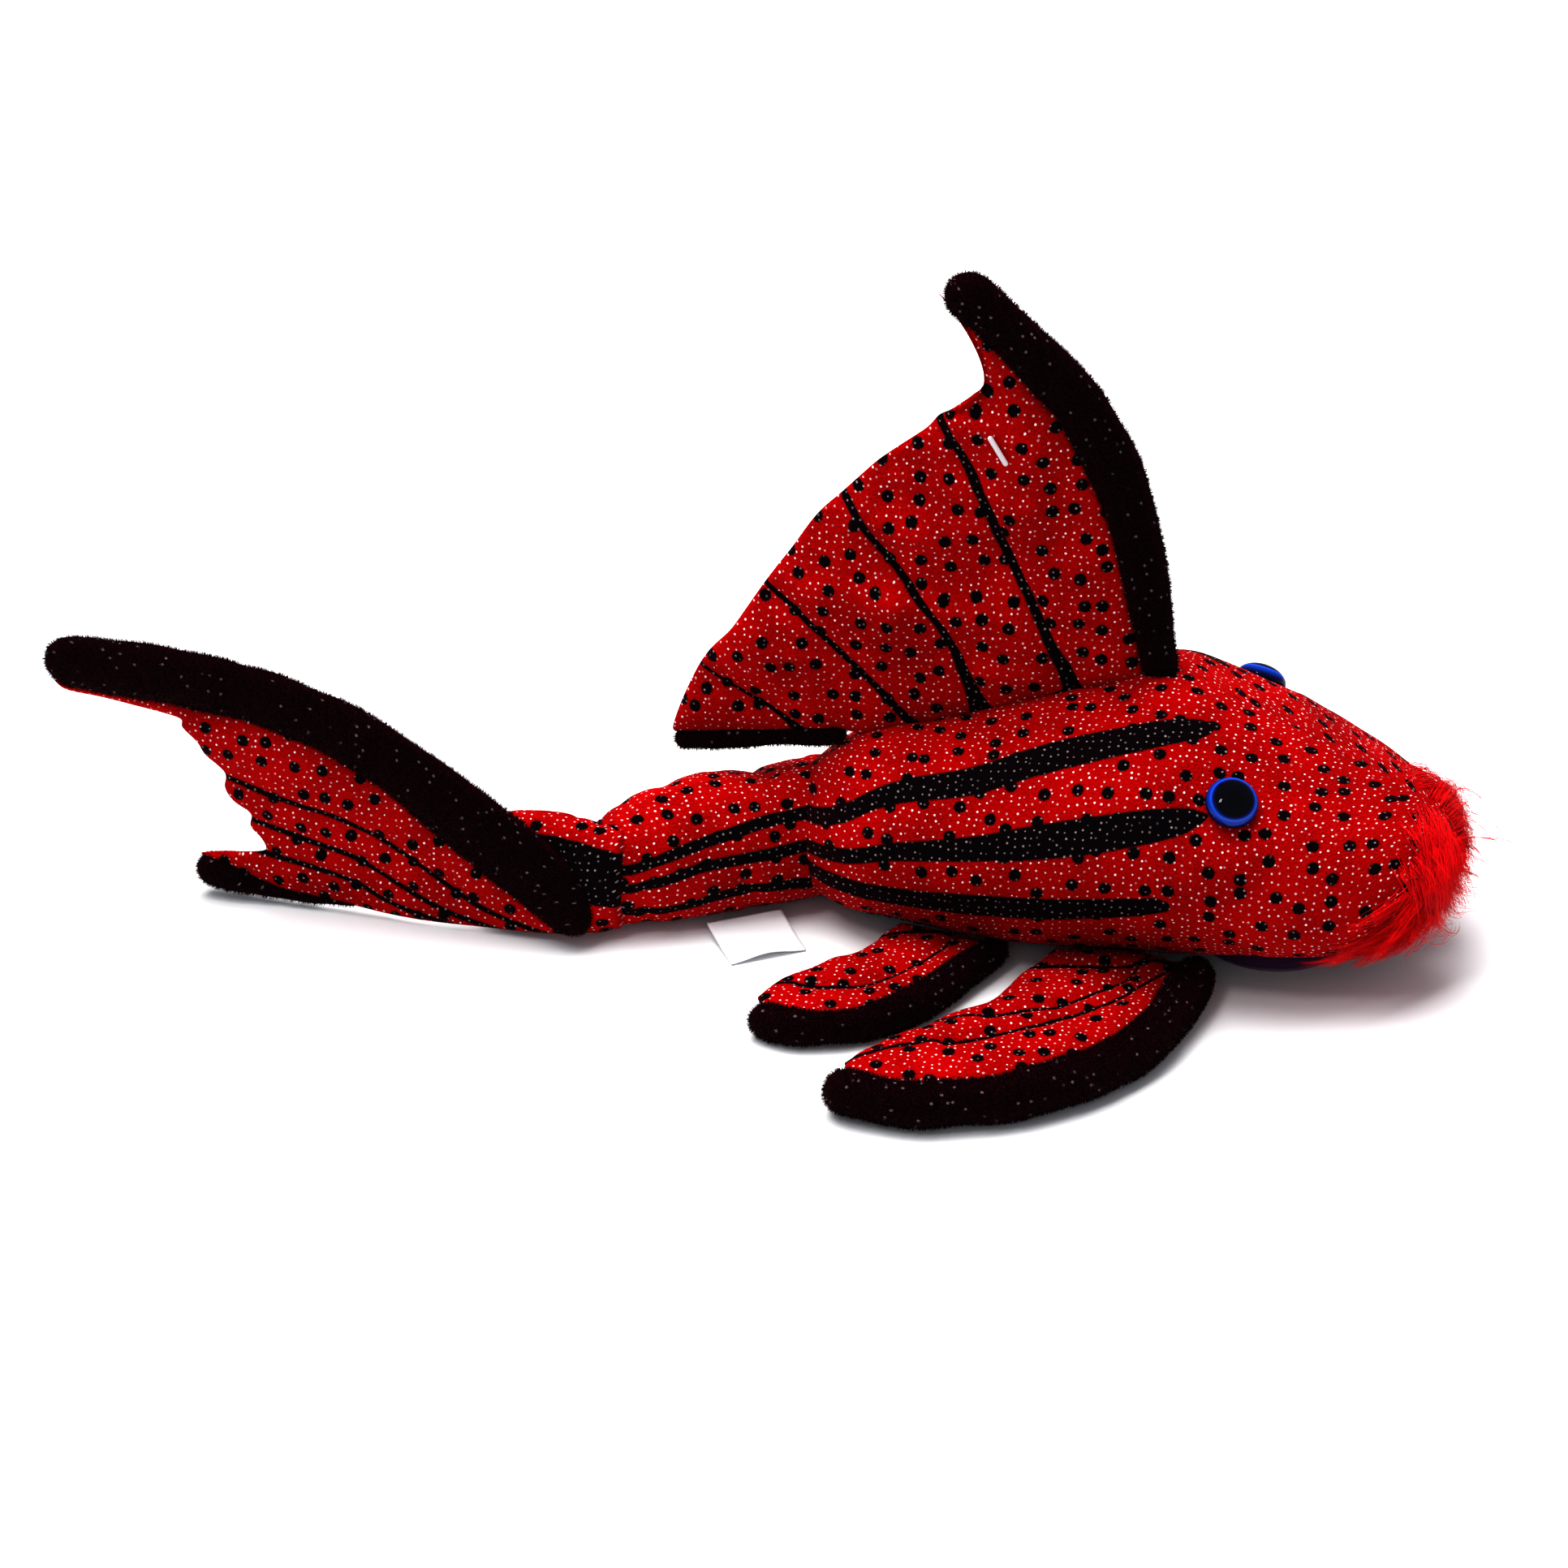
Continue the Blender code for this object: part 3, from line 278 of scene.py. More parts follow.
def wire(tree, kind, inputs, **settings):
    """A shader node. inputs maps its sockets to values or to other nodes' outputs."""
    made = tree.nodes.new(kind)
    for key, value in settings.items():
        setattr(made, key, value)
    for key, value in inputs.items():
        if isinstance(value, bpy.types.NodeSocket):
            tree.links.new(value, made.inputs[key])
        else:
            made.inputs[key].default_value = value
    return made


def new_finish(name, **settings):
    """A material with its node tree and its surface. settings are the surface's own values."""
    finish = bpy.data.materials.new(name)
    finish.use_nodes = True
    shader = finish.node_tree.nodes["Principled BSDF"]
    for key, value in settings.items():
        shader.inputs[key.replace("_", " ")].default_value = value
    return finish, finish.node_tree, shader


def raise_grain(tree, shader, height, strength, distance):
    """Relief of the surface, from a height."""
    relief = wire(tree, "ShaderNodeBump", {"Height": height, "Strength": strength, "Distance": distance})
    tree.links.new(relief.outputs[0], shader.inputs["Normal"])


def marks_of(tree, layer):
    return wire(tree, "ShaderNodeUVMap", {}, uv_map=layer).outputs[0]


def cloth_noise(tree, cloth, scale, detail):
    inputs = {"Vector": cloth, "Scale": scale, "Detail": detail}
    return wire(tree, "ShaderNodeTexNoise", inputs, noise_dimensions="2D").outputs[0]


def cloth_cells(tree, cloth, spacing, scatter):
    """Cells of the cloth, each round one dot or speck. scatter is how unevenly they lie."""
    inputs = {"Vector": cloth, "Scale": 1 / spacing, "Randomness": scatter}
    return wire(tree, "ShaderNodeTexVoronoi", inputs, voronoi_dimensions="2D")


def sum_of(tree, operation, *values):
    return wire(tree, "ShaderNodeMath", dict(enumerate(values)), operation=operation).outputs[0]


def mixed(tree, share, first, second):
    """The mix of two colours by a share."""
    blend = wire(tree, "ShaderNodeMix", {0: share, 6: first, 7: second}, data_type="RGBA")
    return blend.outputs[2]


def edge_step(tree, value, edge, softness):
    """1 where value is below edge, 0 above it, with a soft change between."""
    inputs = {"Value": value, "From Min": edge + softness, "From Max": edge - softness}
    return wire(tree, "ShaderNodeMapRange", inputs, interpolation_type="SMOOTHSTEP").outputs[0]


def band_mask(tree, along, across, band):
    """Where a printed band lies. Each row of band is (place along, middle, half width)."""
    rows = np.array(sorted(band))
    low, reach = rows.min(axis=0), np.ptp(rows, axis=0) + 1e-6
    share = sum_of(tree, "DIVIDE", sum_of(tree, "SUBTRACT", along, low[0]), reach[0])
    values = []
    for column in (1, 2):
        curve = wire(tree, "ShaderNodeFloatCurve", {"Value": share})
        points = curve.mapping.curves[0].points
        spots = [((row[0] - low[0]) / reach[0], (row[column] - low[column]) / reach[column]) for row in rows]
        points[0].location, points[1].location = spots[0], spots[-1]
        for spot in spots[1:-1]:
            points.new(*spot)
        curve.mapping.update()
        values.append(sum_of(tree, "MULTIPLY_ADD", curve.outputs[0], reach[column], low[column]))
    off = sum_of(tree, "ABSOLUTE", sum_of(tree, "SUBTRACT", across, values[0]))
    return edge_step(tree, sum_of(tree, "SUBTRACT", off, values[1]), 0.0, 0.00035)


PILE_RED = (0.40, 0.0005, 0.0018, 1.0)
PILE_SHADE = (0.19, 0.0003, 0.0012, 1.0)
PRINT_BLACK = (0.0035, 0.0028, 0.0040, 1.0)
# Foil specks: the foil print is real, and its bright white is painted glint
FOIL_PRINT_AND_GLINT = (0.95, 0.80, 0.82, 1.0)
DOT_SPACING = 0.0086
DOT_RADIUS = 0.00172
DOT_SOFTNESS = 0.00022
SPECK_SPACING = 0.0023
SPECK_RADIUS = 0.00026
SPECK_SOFTNESS = 0.045
CLOTH_SCATTER = 0.66
FRAY = 0.0009
# Share of a speck's painted glint that a black dot or band takes away
SPECK_ON_BLACK = 0.68


def printed_pile(name, bands=(), rays=()):
    """Short red pile with its dots and foil specks, whose glint is painted into the colour. bands run along
    the print's first measure and rays across it, up its second."""
    finish, tree, shader = new_finish(
        name, Sheen_Weight=0.06, Sheen_Roughness=0.45, Sheen_Tint=(1.0, 0.03, 0.06, 1.0),
        Specular_IOR_Level=0.05,
    )
    marks = wire(tree, "ShaderNodeSeparateXYZ", {0: marks_of(tree, "print")})
    cloth = marks_of(tree, "dots")
    frayed = cloth_noise(tree, cloth, 2200.0, 1.0)
    fray = sum_of(tree, "MULTIPLY", sum_of(tree, "SUBTRACT", frayed, 0.5), FRAY)
    cells = cloth_cells(tree, cloth, DOT_SPACING, CLOTH_SCATTER)
    apart = sum_of(tree, "ADD", sum_of(tree, "MULTIPLY", cells.outputs["Distance"], DOT_SPACING), fray)
    black = edge_step(tree, apart, DOT_RADIUS, DOT_SOFTNESS)
    frayed_across = sum_of(tree, "ADD", marks.outputs[1], fray)
    frayed_along = sum_of(tree, "ADD", marks.outputs[0], fray)
    for band in bands:
        black = sum_of(tree, "MAXIMUM", black, band_mask(tree, marks.outputs[0], frayed_across, band))
    for ray in rays:
        black = sum_of(tree, "MAXIMUM", black, band_mask(tree, marks.outputs[1], frayed_along, ray))
    # Foil specks: the foil print is real. Its bright white is painted glint, stronger on some specks than on
    # others and dimmer over black print.
    specks = cloth_cells(tree, cloth, SPECK_SPACING, CLOTH_SCATTER)
    glint = wire(tree, "ShaderNodeSeparateXYZ", {0: specks.outputs["Color"]})
    grown = sum_of(tree, "MULTIPLY_ADD", glint.outputs[2], 0.05, specks.outputs["Distance"])
    speck = edge_step(tree, grown, SPECK_RADIUS / SPECK_SPACING + 0.03, SPECK_SOFTNESS)
    speck = sum_of(tree, "MULTIPLY", speck, sum_of(tree, "MULTIPLY_ADD", glint.outputs[0], 0.80, 0.20))
    shown = sum_of(tree, "MULTIPLY_ADD", black, -SPECK_ON_BLACK, 1.0)
    painted_glint_share = sum_of(tree, "MULTIPLY", speck, shown)
    drift = sum_of(tree, "MULTIPLY", cloth_noise(tree, cloth, 55.0, 3.0), 0.45)
    fibre = cloth_noise(tree, cloth, 1500.0, 3.0)
    depth = sum_of(tree, "MULTIPLY_ADD", fibre, 0.55, drift)
    share = wire(tree, "ShaderNodeMapRange", {"Value": depth, "From Min": 0.30, "From Max": 0.62}).outputs[0]
    inked = mixed(tree, black, mixed(tree, share, PILE_SHADE, PILE_RED), PRINT_BLACK)
    tree.links.new(mixed(tree, painted_glint_share, inked, FOIL_PRINT_AND_GLINT), shader.inputs["Base Color"])
    tree.links.new(sum_of(tree, "MULTIPLY_ADD", speck, -0.45, 0.85), shader.inputs["Roughness"])
    raise_grain(tree, shader, sum_of(tree, "MULTIPLY_ADD", speck, -0.4, fibre), 0.8, 0.0006)
    return finish


body_rings = []
body_marks = []
for share in np.linspace(0, 1, BODY_RINGS):
    # Rings stand closer together towards both ends, where the cover turns in.
    length = BODY_ROWS[-1][0] - BODY_ROWS[0][0]
    x = BODY_ROWS[0][0] + length * (share - 0.09 * math.sin(2 * math.pi * share))
    across, height, cloth = girth(sizes_at(BODY_ROWS, x), BODY_ROUND)
    line = np.cos(np.linspace(0, 2 * math.pi, BODY_ROUND + 1))
    seam = np.sin(BELLY_SEAM_HEIGHT * math.pi / 2)
    seam_cloth = np.interp(-seam, -line[: BODY_ROUND // 2 + 1], cloth[: BODY_ROUND // 2 + 1])
    sink = SEAM_SINK * np.exp(-(((cloth - seam_cloth) / SEAM_SPREAD) ** 2))
    middle = sizes_at(BODY_ROWS, x)[3]
    inward = np.stack([-across, middle - height], 1)
    inward /= np.maximum(np.linalg.norm(inward, axis=1), 1e-6)[:, None]
    moved = np.stack([across, height], 1) + inward * sink[:, None]
    body_rings.append([(CUP_MIDDLE.x + x, CUP_MIDDLE.y + y, z) for y, z in moved[:-1]])
    body_marks.append([(x, value) for value in cloth])
body_mesh = wrapped("body_cover", np.array(body_rings), np.array(body_marks))
uneven(body_mesh, 0.026, 0.0011, 3.0)
uneven(body_mesh, 0.009, 0.0003, 8.0)

body_bands = [
    [(x, cloth_height(sizes_at(BODY_ROWS, x), z), half) for x, z, half in band] for band in BODY_BANDS
]
body_pile = printed_pile("body_pile", bands=body_bands)
body_cover = add_piece(
    "body_cover", body_mesh, body_pile, "trunk",
    ("body_side_left", "body_side_right", "trunk_stuffing", "mouth_patch"),
)


# ---- Belly panel
# One piece of black plush under the body, sewn to both side panels at the low seam. The
# suction cup's stem comes through it. Its nap is short and stands nearly upright.
BELLY_PANEL_ENDS = (-0.1150, 0.0400)
BELLY_PANEL_RINGS = 90
BELLY_PANEL_COLUMNS = 36
BELLY_PANEL_PROUD = 0.0005
BELLY_NAP_SPACING = 0.0011
BELLY_NAP_LENGTH = 0.0007
BELLY_NAP_WIDTH = 0.00022
PLUSH_BLACK = (0.0040, 0.0016, 0.0026, 1.0)
PLUSH_WINE = (0.030, 0.0018, 0.0060, 1.0)
PLUSH_SHEEN = (0.60, 0.05, 0.13, 1.0)


def black_plush():
    """Black plush whose fibres show wine red where they are seen from the side."""
    finish, tree, shader = new_finish(
        "black_plush", Roughness=0.9, Specular_IOR_Level=0.08, Sheen_Weight=0.08, Sheen_Roughness=0.35,
        Sheen_Tint=PLUSH_SHEEN,
    )
    cloth = marks_of(tree, "dots")
    fibre = cloth_noise(tree, cloth, 1700.0, 3.0)
    share = wire(tree, "ShaderNodeMapRange", {"Value": fibre, "From Min": 0.45, "From Max": 0.75})
    pile = mixed(tree, share.outputs[0], PLUSH_BLACK, PLUSH_WINE)
    # Rare foil specks: real foil print, with their brightness painted into the colour as glint.
    specks = cloth_cells(tree, cloth, SPECK_SPACING, 0.7)
    speck = edge_step(tree, specks.outputs["Distance"], 0.17, 0.05)
    glint = wire(tree, "ShaderNodeSeparateXYZ", {0: specks.outputs["Color"]})
    rare = edge_step(tree, glint.outputs[1], 0.13, 0.05)
    shown = sum_of(tree, "MULTIPLY", sum_of(tree, "MULTIPLY", speck, rare), 0.16)
    tree.links.new(mixed(tree, shown, pile, FOIL_PRINT_AND_GLINT), shader.inputs["Base Color"])
    raise_grain(tree, shader, fibre, 0.9, 0.0008)
    return finish


def hairs(name, paths, widths, marks=None):
    """Tapered three-sided hairs along their paths, each closed at its root. marks is the place
    of each hair's root on the print and the dot cloth, so that it takes the colour there."""
    count, steps = paths.shape[:2]
    run = np.gradient(paths, axis=1)
    run /= np.maximum(np.linalg.norm(run, axis=2, keepdims=True), 1e-9)
    side = np.cross(run, np.roll(run[:, :1], 1, axis=2) + np.array([0.31, 0.17, 0.05]))
    side /= np.maximum(np.linalg.norm(side, axis=2, keepdims=True), 1e-9)
    other = np.cross(run, side)
    radii = np.linspace(1.0, 0.35, steps)[None, :, None] * widths[:, None, None] / 2
    corners = []
    for turn in (0.0, 2 * math.pi / 3, 4 * math.pi / 3):
        corners.append(paths + (side * math.cos(turn) + other * math.sin(turn)) * radii)
    rings = np.stack(corners, 2)[:, :-1].reshape(count, -1, 3)
    points = np.concatenate([rings, paths[:, -1:]], 1)
    each = points.shape[1]
    faces = [(2, 1, 0)]
    for step in range(steps - 2):
        for corner in range(3):
            after = (corner + 1) % 3
            low = step * 3
            faces.append((low + corner, low + after, low + 3 + after, low + 3 + corner))
    last = (steps - 2) * 3
    faces += [(last + corner, last + (corner + 1) % 3, each - 1) for corner in range(3)]
    starts = np.arange(count) * each
    triangles = [tuple(face) for face in faces]
    sizes = np.tile([len(face) for face in triangles], count)
    loops = (starts[:, None] + np.concatenate([np.array(face) for face in triangles])).ravel()
    mesh = bpy.data.meshes.new(name)
    mesh.vertices.add(len(points) * each)
    mesh.vertices.foreach_set("co", points.astype(np.float32).ravel())
    mesh.loops.add(len(loops))
    mesh.loops.foreach_set("vertex_index", loops.astype(np.int32))
    mesh.polygons.add(len(sizes))
    mesh.polygons.foreach_set("loop_start", np.concatenate([[0], np.cumsum(sizes)[:-1]]).astype(np.int32))
    mesh.update(calc_edges=True)
    mesh.shade_smooth()
    if marks is not None:
        for layer, values in marks.items():
            uv = mesh.uv_layers.new(name=layer)
            per_hair = sum(len(face) for face in triangles)
            uv.data.foreach_set("uv", np.repeat(values, per_hair, axis=0).astype(np.float32).ravel())
    return mesh


def nap(name, piece, body, spacing, length, width, lean, seed):
    """The upright fibres of plush, rooted all over a piece. lean is how far they are brushed."""
    mesh = piece.data
    mesh.calc_loop_triangles()
    count = len(mesh.loop_triangles)
    corners = np.empty(count * 3, np.int32)
    loops = np.empty(count * 3, np.int32)
    mesh.loop_triangles.foreach_get("vertices", corners)
    mesh.loop_triangles.foreach_get("loops", loops)
    corners, loops = corners.reshape(-1, 3), loops.reshape(-1, 3)
    points = np.empty(len(mesh.vertices) * 3, np.float32)
    mesh.vertices.foreach_get("co", points)
    points = points.reshape(-1, 3).astype(float)
    matrix = np.array(piece.matrix_world)
    points = points @ matrix[:3, :3].T + matrix[:3, 3]
    normals = np.array([normal.vector[:] for normal in mesh.vertex_normals])
    a, b, c = (points[corners[:, k]] for k in range(3))
    area = np.linalg.norm(np.cross(b - a, c - a), axis=1) / 2
    chance = np.random.default_rng(seed)
    total = int(area.sum() / spacing**2)
    chosen = chance.choice(len(area), total, p=area / area.sum())
    weights = chance.dirichlet((1.0, 1.0, 1.0), total)
    roots = np.einsum("ij,ijk->ik", weights, points[corners[chosen]])
    outward = np.einsum("ij,ijk->ik", weights, normals[corners[chosen]])
    outward /= np.maximum(np.linalg.norm(outward, axis=1, keepdims=True), 1e-9)
    marks = {}
    for layer in mesh.uv_layers:
        values = np.empty(len(mesh.loops) * 2, np.float32)
        layer.data.foreach_get("uv", values)
        marks[layer.name] = np.einsum("ij,ijk->ik", weights, values.reshape(-1, 2)[loops[chosen]])
    way = outward + np.array(lean) + chance.normal(0, 0.28, (total, 3))
    way /= np.linalg.norm(way, axis=1, keepdims=True)
    long = length * chance.uniform(0.6, 1.1, total)[:, None]
    buried = roots - outward * width
    middle = roots + (outward * 0.6 + way * 0.4) * long * 0.5
    paths = np.stack([buried, middle, roots + way * long], 1)
    hair = hairs(name, paths, np.full(total, width), marks)
    return add_piece(name, hair, plush, body)


panel_rings = []
panel_marks = []
for x in np.linspace(*BELLY_PANEL_ENDS, BELLY_PANEL_RINGS):
    sizes = sizes_at(BODY_ROWS, x)
    across, height, cloth = girth(sizes, 720)
    angle = (1 - BELLY_SEAM_HEIGHT) / 2 * 180
    turns = np.linspace(angle, 360 - angle, BELLY_PANEL_COLUMNS) * 2
    edge_fade = np.minimum(1, np.minimum(turns - turns[0], turns[-1] - turns) / 30) ** 0.5
    proud = BELLY_PANEL_PROUD * (2 * edge_fade - 1)
    y = np.interp(turns, np.arange(721), across)
    z = np.interp(turns, np.arange(721), height)
    outer = [(CUP_MIDDLE.x + x, CUP_MIDDLE.y + a * (1 + p / 0.03), b - p) for a, b, p in zip(y, z, proud)]
    inner = [(px, py * 0.985, pz + 0.0011) for px, py, pz in outer[::-1]]
    panel_rings.append(outer + inner)
    run = [(x, value) for value in np.interp(turns, np.arange(721), cloth)]
    panel_marks.append(run + run[::-1] + run[:1])
plush = black_plush()
belly_panel = add_piece(
    "belly_plush", wrapped("belly_plush", np.array(panel_rings), np.array(panel_marks)), plush,
    "trunk", ("belly_panel",),
)
nap(
    "belly_nap", belly_panel, "trunk", BELLY_NAP_SPACING, BELLY_NAP_LENGTH, BELLY_NAP_WIDTH,
    (-0.3, 0, 0), 11,
)


# ---- Safety eyes
# A clear dome over a printed blue ring and a black pupil, moulded in one with a post. The post
# goes through the side panel, and a washer inside holds it.
EYE_PLACE = -0.010
EYE_LINE = 0.467
EYE_FORWARD = math.radians(12)
EYE_RADIUS = 0.0071
EYE_DOME = 0.0043
EYE_POST = 0.0022
EYE_POST_DEPTH = 0.0095
EYE_SOCKET_RADIUS = 0.0125
EYE_SOCKET_DEPTH = 0.0013
# Iris rings: share of the radius, colour
IRIS = (
    (0.00, (0.0008, 0.0008, 0.0012, 1.0)),
    (0.70, (0.0010, 0.0012, 0.0050, 1.0)),
    (0.765, (0.0016, 0.0060, 0.0700, 1.0)),
    (0.80, (0.0030, 0.0260, 0.2400, 1.0)),
    (0.85, (0.0120, 0.0900, 0.5600, 1.0)),
    (0.885, (0.0040, 0.0340, 0.3000, 1.0)),
    (0.945, (0.0030, 0.0260, 0.2300, 1.0)),
    (1.00, (0.0008, 0.0030, 0.0280, 1.0)),
)


def turned(name, profile, place, axis, count):
    """A moulded round piece. The profile is (radius, height) from one end to the other, and the
    print's first measure is the distance from the axis."""
    turn = axis.to_track_quat("Z", "Y")
    rings = []
    marks = []
    for radius, height in profile:
        ring = []
        for step in range(count):
            angle = 2 * math.pi * step / count
            spot = Vector((radius * math.cos(angle), radius * math.sin(angle), height))
            ring.append((place + turn @ spot)[:])
        rings.append(ring)
        marks.append([(radius, height)] * (count + 1))
    return wrapped(name, np.array(rings), np.array(marks))


eye_plastic, iris_tree, iris_shader = new_finish(
    "eye_plastic", Roughness=0.22, Specular_IOR_Level=0.0, Coat_Weight=0.42, Coat_Roughness=0.02,
    Coat_IOR=1.55,
)
iris_marks = wire(iris_tree, "ShaderNodeSeparateXYZ", {0: marks_of(iris_tree, "print")})
iris_share = sum_of(iris_tree, "DIVIDE", iris_marks.outputs[0], EYE_RADIUS)
iris_ramp = wire(iris_tree, "ShaderNodeValToRGB", {0: iris_share})
iris_stops = iris_ramp.color_ramp.elements
iris_stops[0].position, iris_stops[0].color = IRIS[0]
iris_stops[1].position, iris_stops[1].color = IRIS[-1]
for stop_place, stop_colour in IRIS[1:-1]:
    iris_stops.new(stop_place).color = stop_colour
iris_tree.links.new(iris_ramp.outputs[0], iris_shader.inputs["Base Color"])

eye_sizes = sizes_at(BODY_ROWS, EYE_PLACE)
eye_across, eye_heights, _ = girth(eye_sizes, 720)
eye_index = (1 - EYE_LINE) * 180
for hand, side in (("left", 1), ("right", -1)):
    seat = Vector(
        (
            CUP_MIDDLE.x + EYE_PLACE,
            CUP_MIDDLE.y + side * float(np.interp(eye_index, np.arange(721), eye_across)),
            float(np.interp(eye_index, np.arange(721), eye_heights)),
        )
    )
    low, high = int(eye_index + 6), int(eye_index - 6)
    rise = eye_heights[high] - eye_heights[low]
    narrow = eye_across[low] - eye_across[high]
    facing = Vector((0.0, side * rise, narrow)).normalized() + Vector((math.tan(EYE_FORWARD), 0, 0))
    facing.normalize()
    for vertex in body_mesh.vertices:
        apart = (vertex.co - seat).length
        if apart < EYE_SOCKET_RADIUS:
            vertex.co -= facing * EYE_SOCKET_DEPTH * (1 - (apart / EYE_SOCKET_RADIUS) ** 2)
    profile = [(0.0001, -EYE_POST_DEPTH), (EYE_POST * 0.9, -EYE_POST_DEPTH)]
    profile += [(EYE_POST, height * -0.001) for height in (9.2, 7.2, 5.0, 2.6, 0.6)]
    profile += [(EYE_RADIUS * 0.9, -0.0004), (EYE_RADIUS * 0.985, -0.0001), (EYE_RADIUS, 0.0003)]
    for turn in np.linspace(math.radians(4), math.pi / 2, 22):
        profile.append((max(EYE_RADIUS * math.cos(turn), 0.0001), 0.0003 + EYE_DOME * math.sin(turn)))
    add_piece(
        f"safety_eye_{hand}", turned(f"safety_eye_{hand}", profile, seat, facing, 72), eye_plastic,
        "trunk", (f"eye_{hand}",),
    )

washer_plastic, washer_tree, washer_shader = new_finish(
    "washer_plastic", Base_Color=(0.78, 0.78, 0.76, 1.0), Roughness=0.45
)
washer_grain = wire(washer_tree, "ShaderNodeTexNoise", {"Scale": 900.0, "Detail": 2.0})
raise_grain(washer_tree, washer_shader, washer_grain.outputs[0], 0.3, 0.0001)
for hand in ("left", "right"):
    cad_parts[f"eye_washer_{hand}"].data.materials.clear()
    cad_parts[f"eye_washer_{hand}"].data.materials.append(washer_plastic)


# ---- Fur round the mouth
# Long bright red pile sewn round the snout. It falls from the brow down the front of the
# mouth, turns back under the chin, and a few loose hairs stray.
FUR_RED = (0.86, 0.0035, 0.0060, 1.0)
FUR_DEEP = (0.60, 0.0020, 0.0060, 1.0)
FUR_STEPS = 9
FUR_WIDTH = 0.00016
FUR_LOCK_HAIRS = 14
FUR_LOWEST = 0.0030
# Locks: hairs, place from and to, turn from the ridge from and to (degrees), turn that a hair
# runs down, place that it moves forward, most that it lifts off, spread of its lift
FUR_LOCKS = (
    (3000, 0.0405, 0.0474, 4, 100, 72, 0.0006, 0.0034, 0.0012),
    (1300, 0.0370, 0.0460, 78, 128, 22, -0.0125, 0.0030, 0.0012),
    (500, 0.0250, 0.0400, 104, 128, 12, -0.0140, 0.0016, 0.0008),
    (420, 0.0340, 0.0430, 10, 80, 36, 0.0060, 0.0018, 0.0006),
    (170, 0.0400, 0.0472, 40, 130, 44, 0.0024, 0.0062, 0.0026),
)


def fur_finish():
    finish, tree, shader = new_finish(
        "long_red_fur", Roughness=0.55, Specular_IOR_Level=0.2, Sheen_Weight=0.2,
        Sheen_Tint=(1.0, 0.08, 0.12, 1.0),
    )
    spot = wire(tree, "ShaderNodeTexCoord", {}).outputs["Object"]
    drift = wire(tree, "ShaderNodeTexNoise", {"Vector": spot, "Scale": 260.0, "Detail": 3.0})
    share = wire(tree, "ShaderNodeMapRange", {"Value": drift.outputs[0], "From Min": 0.36, "From Max": 0.60})
    tree.links.new(mixed(tree, share.outputs[0], FUR_DEEP, FUR_RED), shader.inputs["Base Color"])
    return finish


def on_snout(x, turn):
    """A point on the snout at a place and a turn from the ridge (degrees, left positive)."""
    across, height, _ = girth(sizes_at(BODY_ROWS, min(x, 0.0479)), 360)
    return np.array(
        [
            CUP_MIDDLE.x + x,
            CUP_MIDDLE.y + float(np.interp(turn % 360, np.arange(361), across)),
            float(np.interp(turn % 360, np.arange(361), height)),
        ]
    )


fur_chance = np.random.default_rng(5)
fur_paths = []
snout_core = np.array([CUP_MIDDLE.x + 0.022, CUP_MIDDLE.y, 0.031])
for count, x_from, x_to, turn_from, turn_to, run_down, forward, lift, lift_spread in FUR_LOCKS:
    for lock_number in range(count // FUR_LOCK_HAIRS):
        side = 1 if lock_number % 2 else -1
        lock_x = fur_chance.uniform(x_from, x_to)
        lock_turn = fur_chance.uniform(turn_from, turn_to)
        lock_down = run_down * fur_chance.uniform(0.55, 1.2)
        lock_ahead = forward * fur_chance.uniform(0.5, 1.4)
        lock_rise = max(lift + fur_chance.normal(0, lift_spread), 0.0006)
        swing, curl = fur_chance.normal(0, 0.0020, 3), fur_chance.uniform(-0.0016, 0.0016)
        for _ in range(FUR_LOCK_HAIRS):
            # Hairs start apart and draw together towards the tip of their lock.
            x = lock_x + fur_chance.normal(0, 0.0016)
            turn = lock_turn + fur_chance.normal(0, 4.0)
            down = lock_down * fur_chance.uniform(0.8, 1.1)
            rise = lock_rise * fur_chance.uniform(0.6, 1.25)
            stray = fur_chance.normal(0, 0.0005, 3)
            path = []
            for part in np.linspace(0, 1, FUR_STEPS):
                near = 1 - 0.6 * part
                at = lock_x + (x - lock_x) * near + lock_ahead * part
                round_to = lock_turn + (turn - lock_turn) * near + down * part
                spot = on_snout(min(at, 0.0476), side * min(round_to, 170))
                outward = spot - snout_core
                outward /= np.linalg.norm(outward)
                lifted = rise * math.sin(math.pi * min(0.62 * part + 0.02, 1))
                wave = curl * math.sin(4.5 * part) * part
                path.append(spot + outward * (lifted + wave) + (swing + stray) * part**2)
            fur_paths.append(path)
fur_paths = np.array(fur_paths)
fur_paths[:, :, 2] = np.maximum(fur_paths[:, :, 2], FUR_LOWEST)
fur_widths = fur_chance.uniform(0.7, 1.3, len(fur_paths)) * FUR_WIDTH
add_piece(
    "mouth_fur", hairs("mouth_fur", fur_paths, fur_widths), fur_finish(), "trunk",
    ("snout_fur",),
)


# ---- Suction cup
# Soft see-through purple vinyl, moulded in one: a thin bell with a flat lip, a stem, and a
# button that sits inside the belly panel.
CUP_RADIUS = 0.0210
CUP_SHOULDER = 0.0050
CUP_STEM = 0.0035

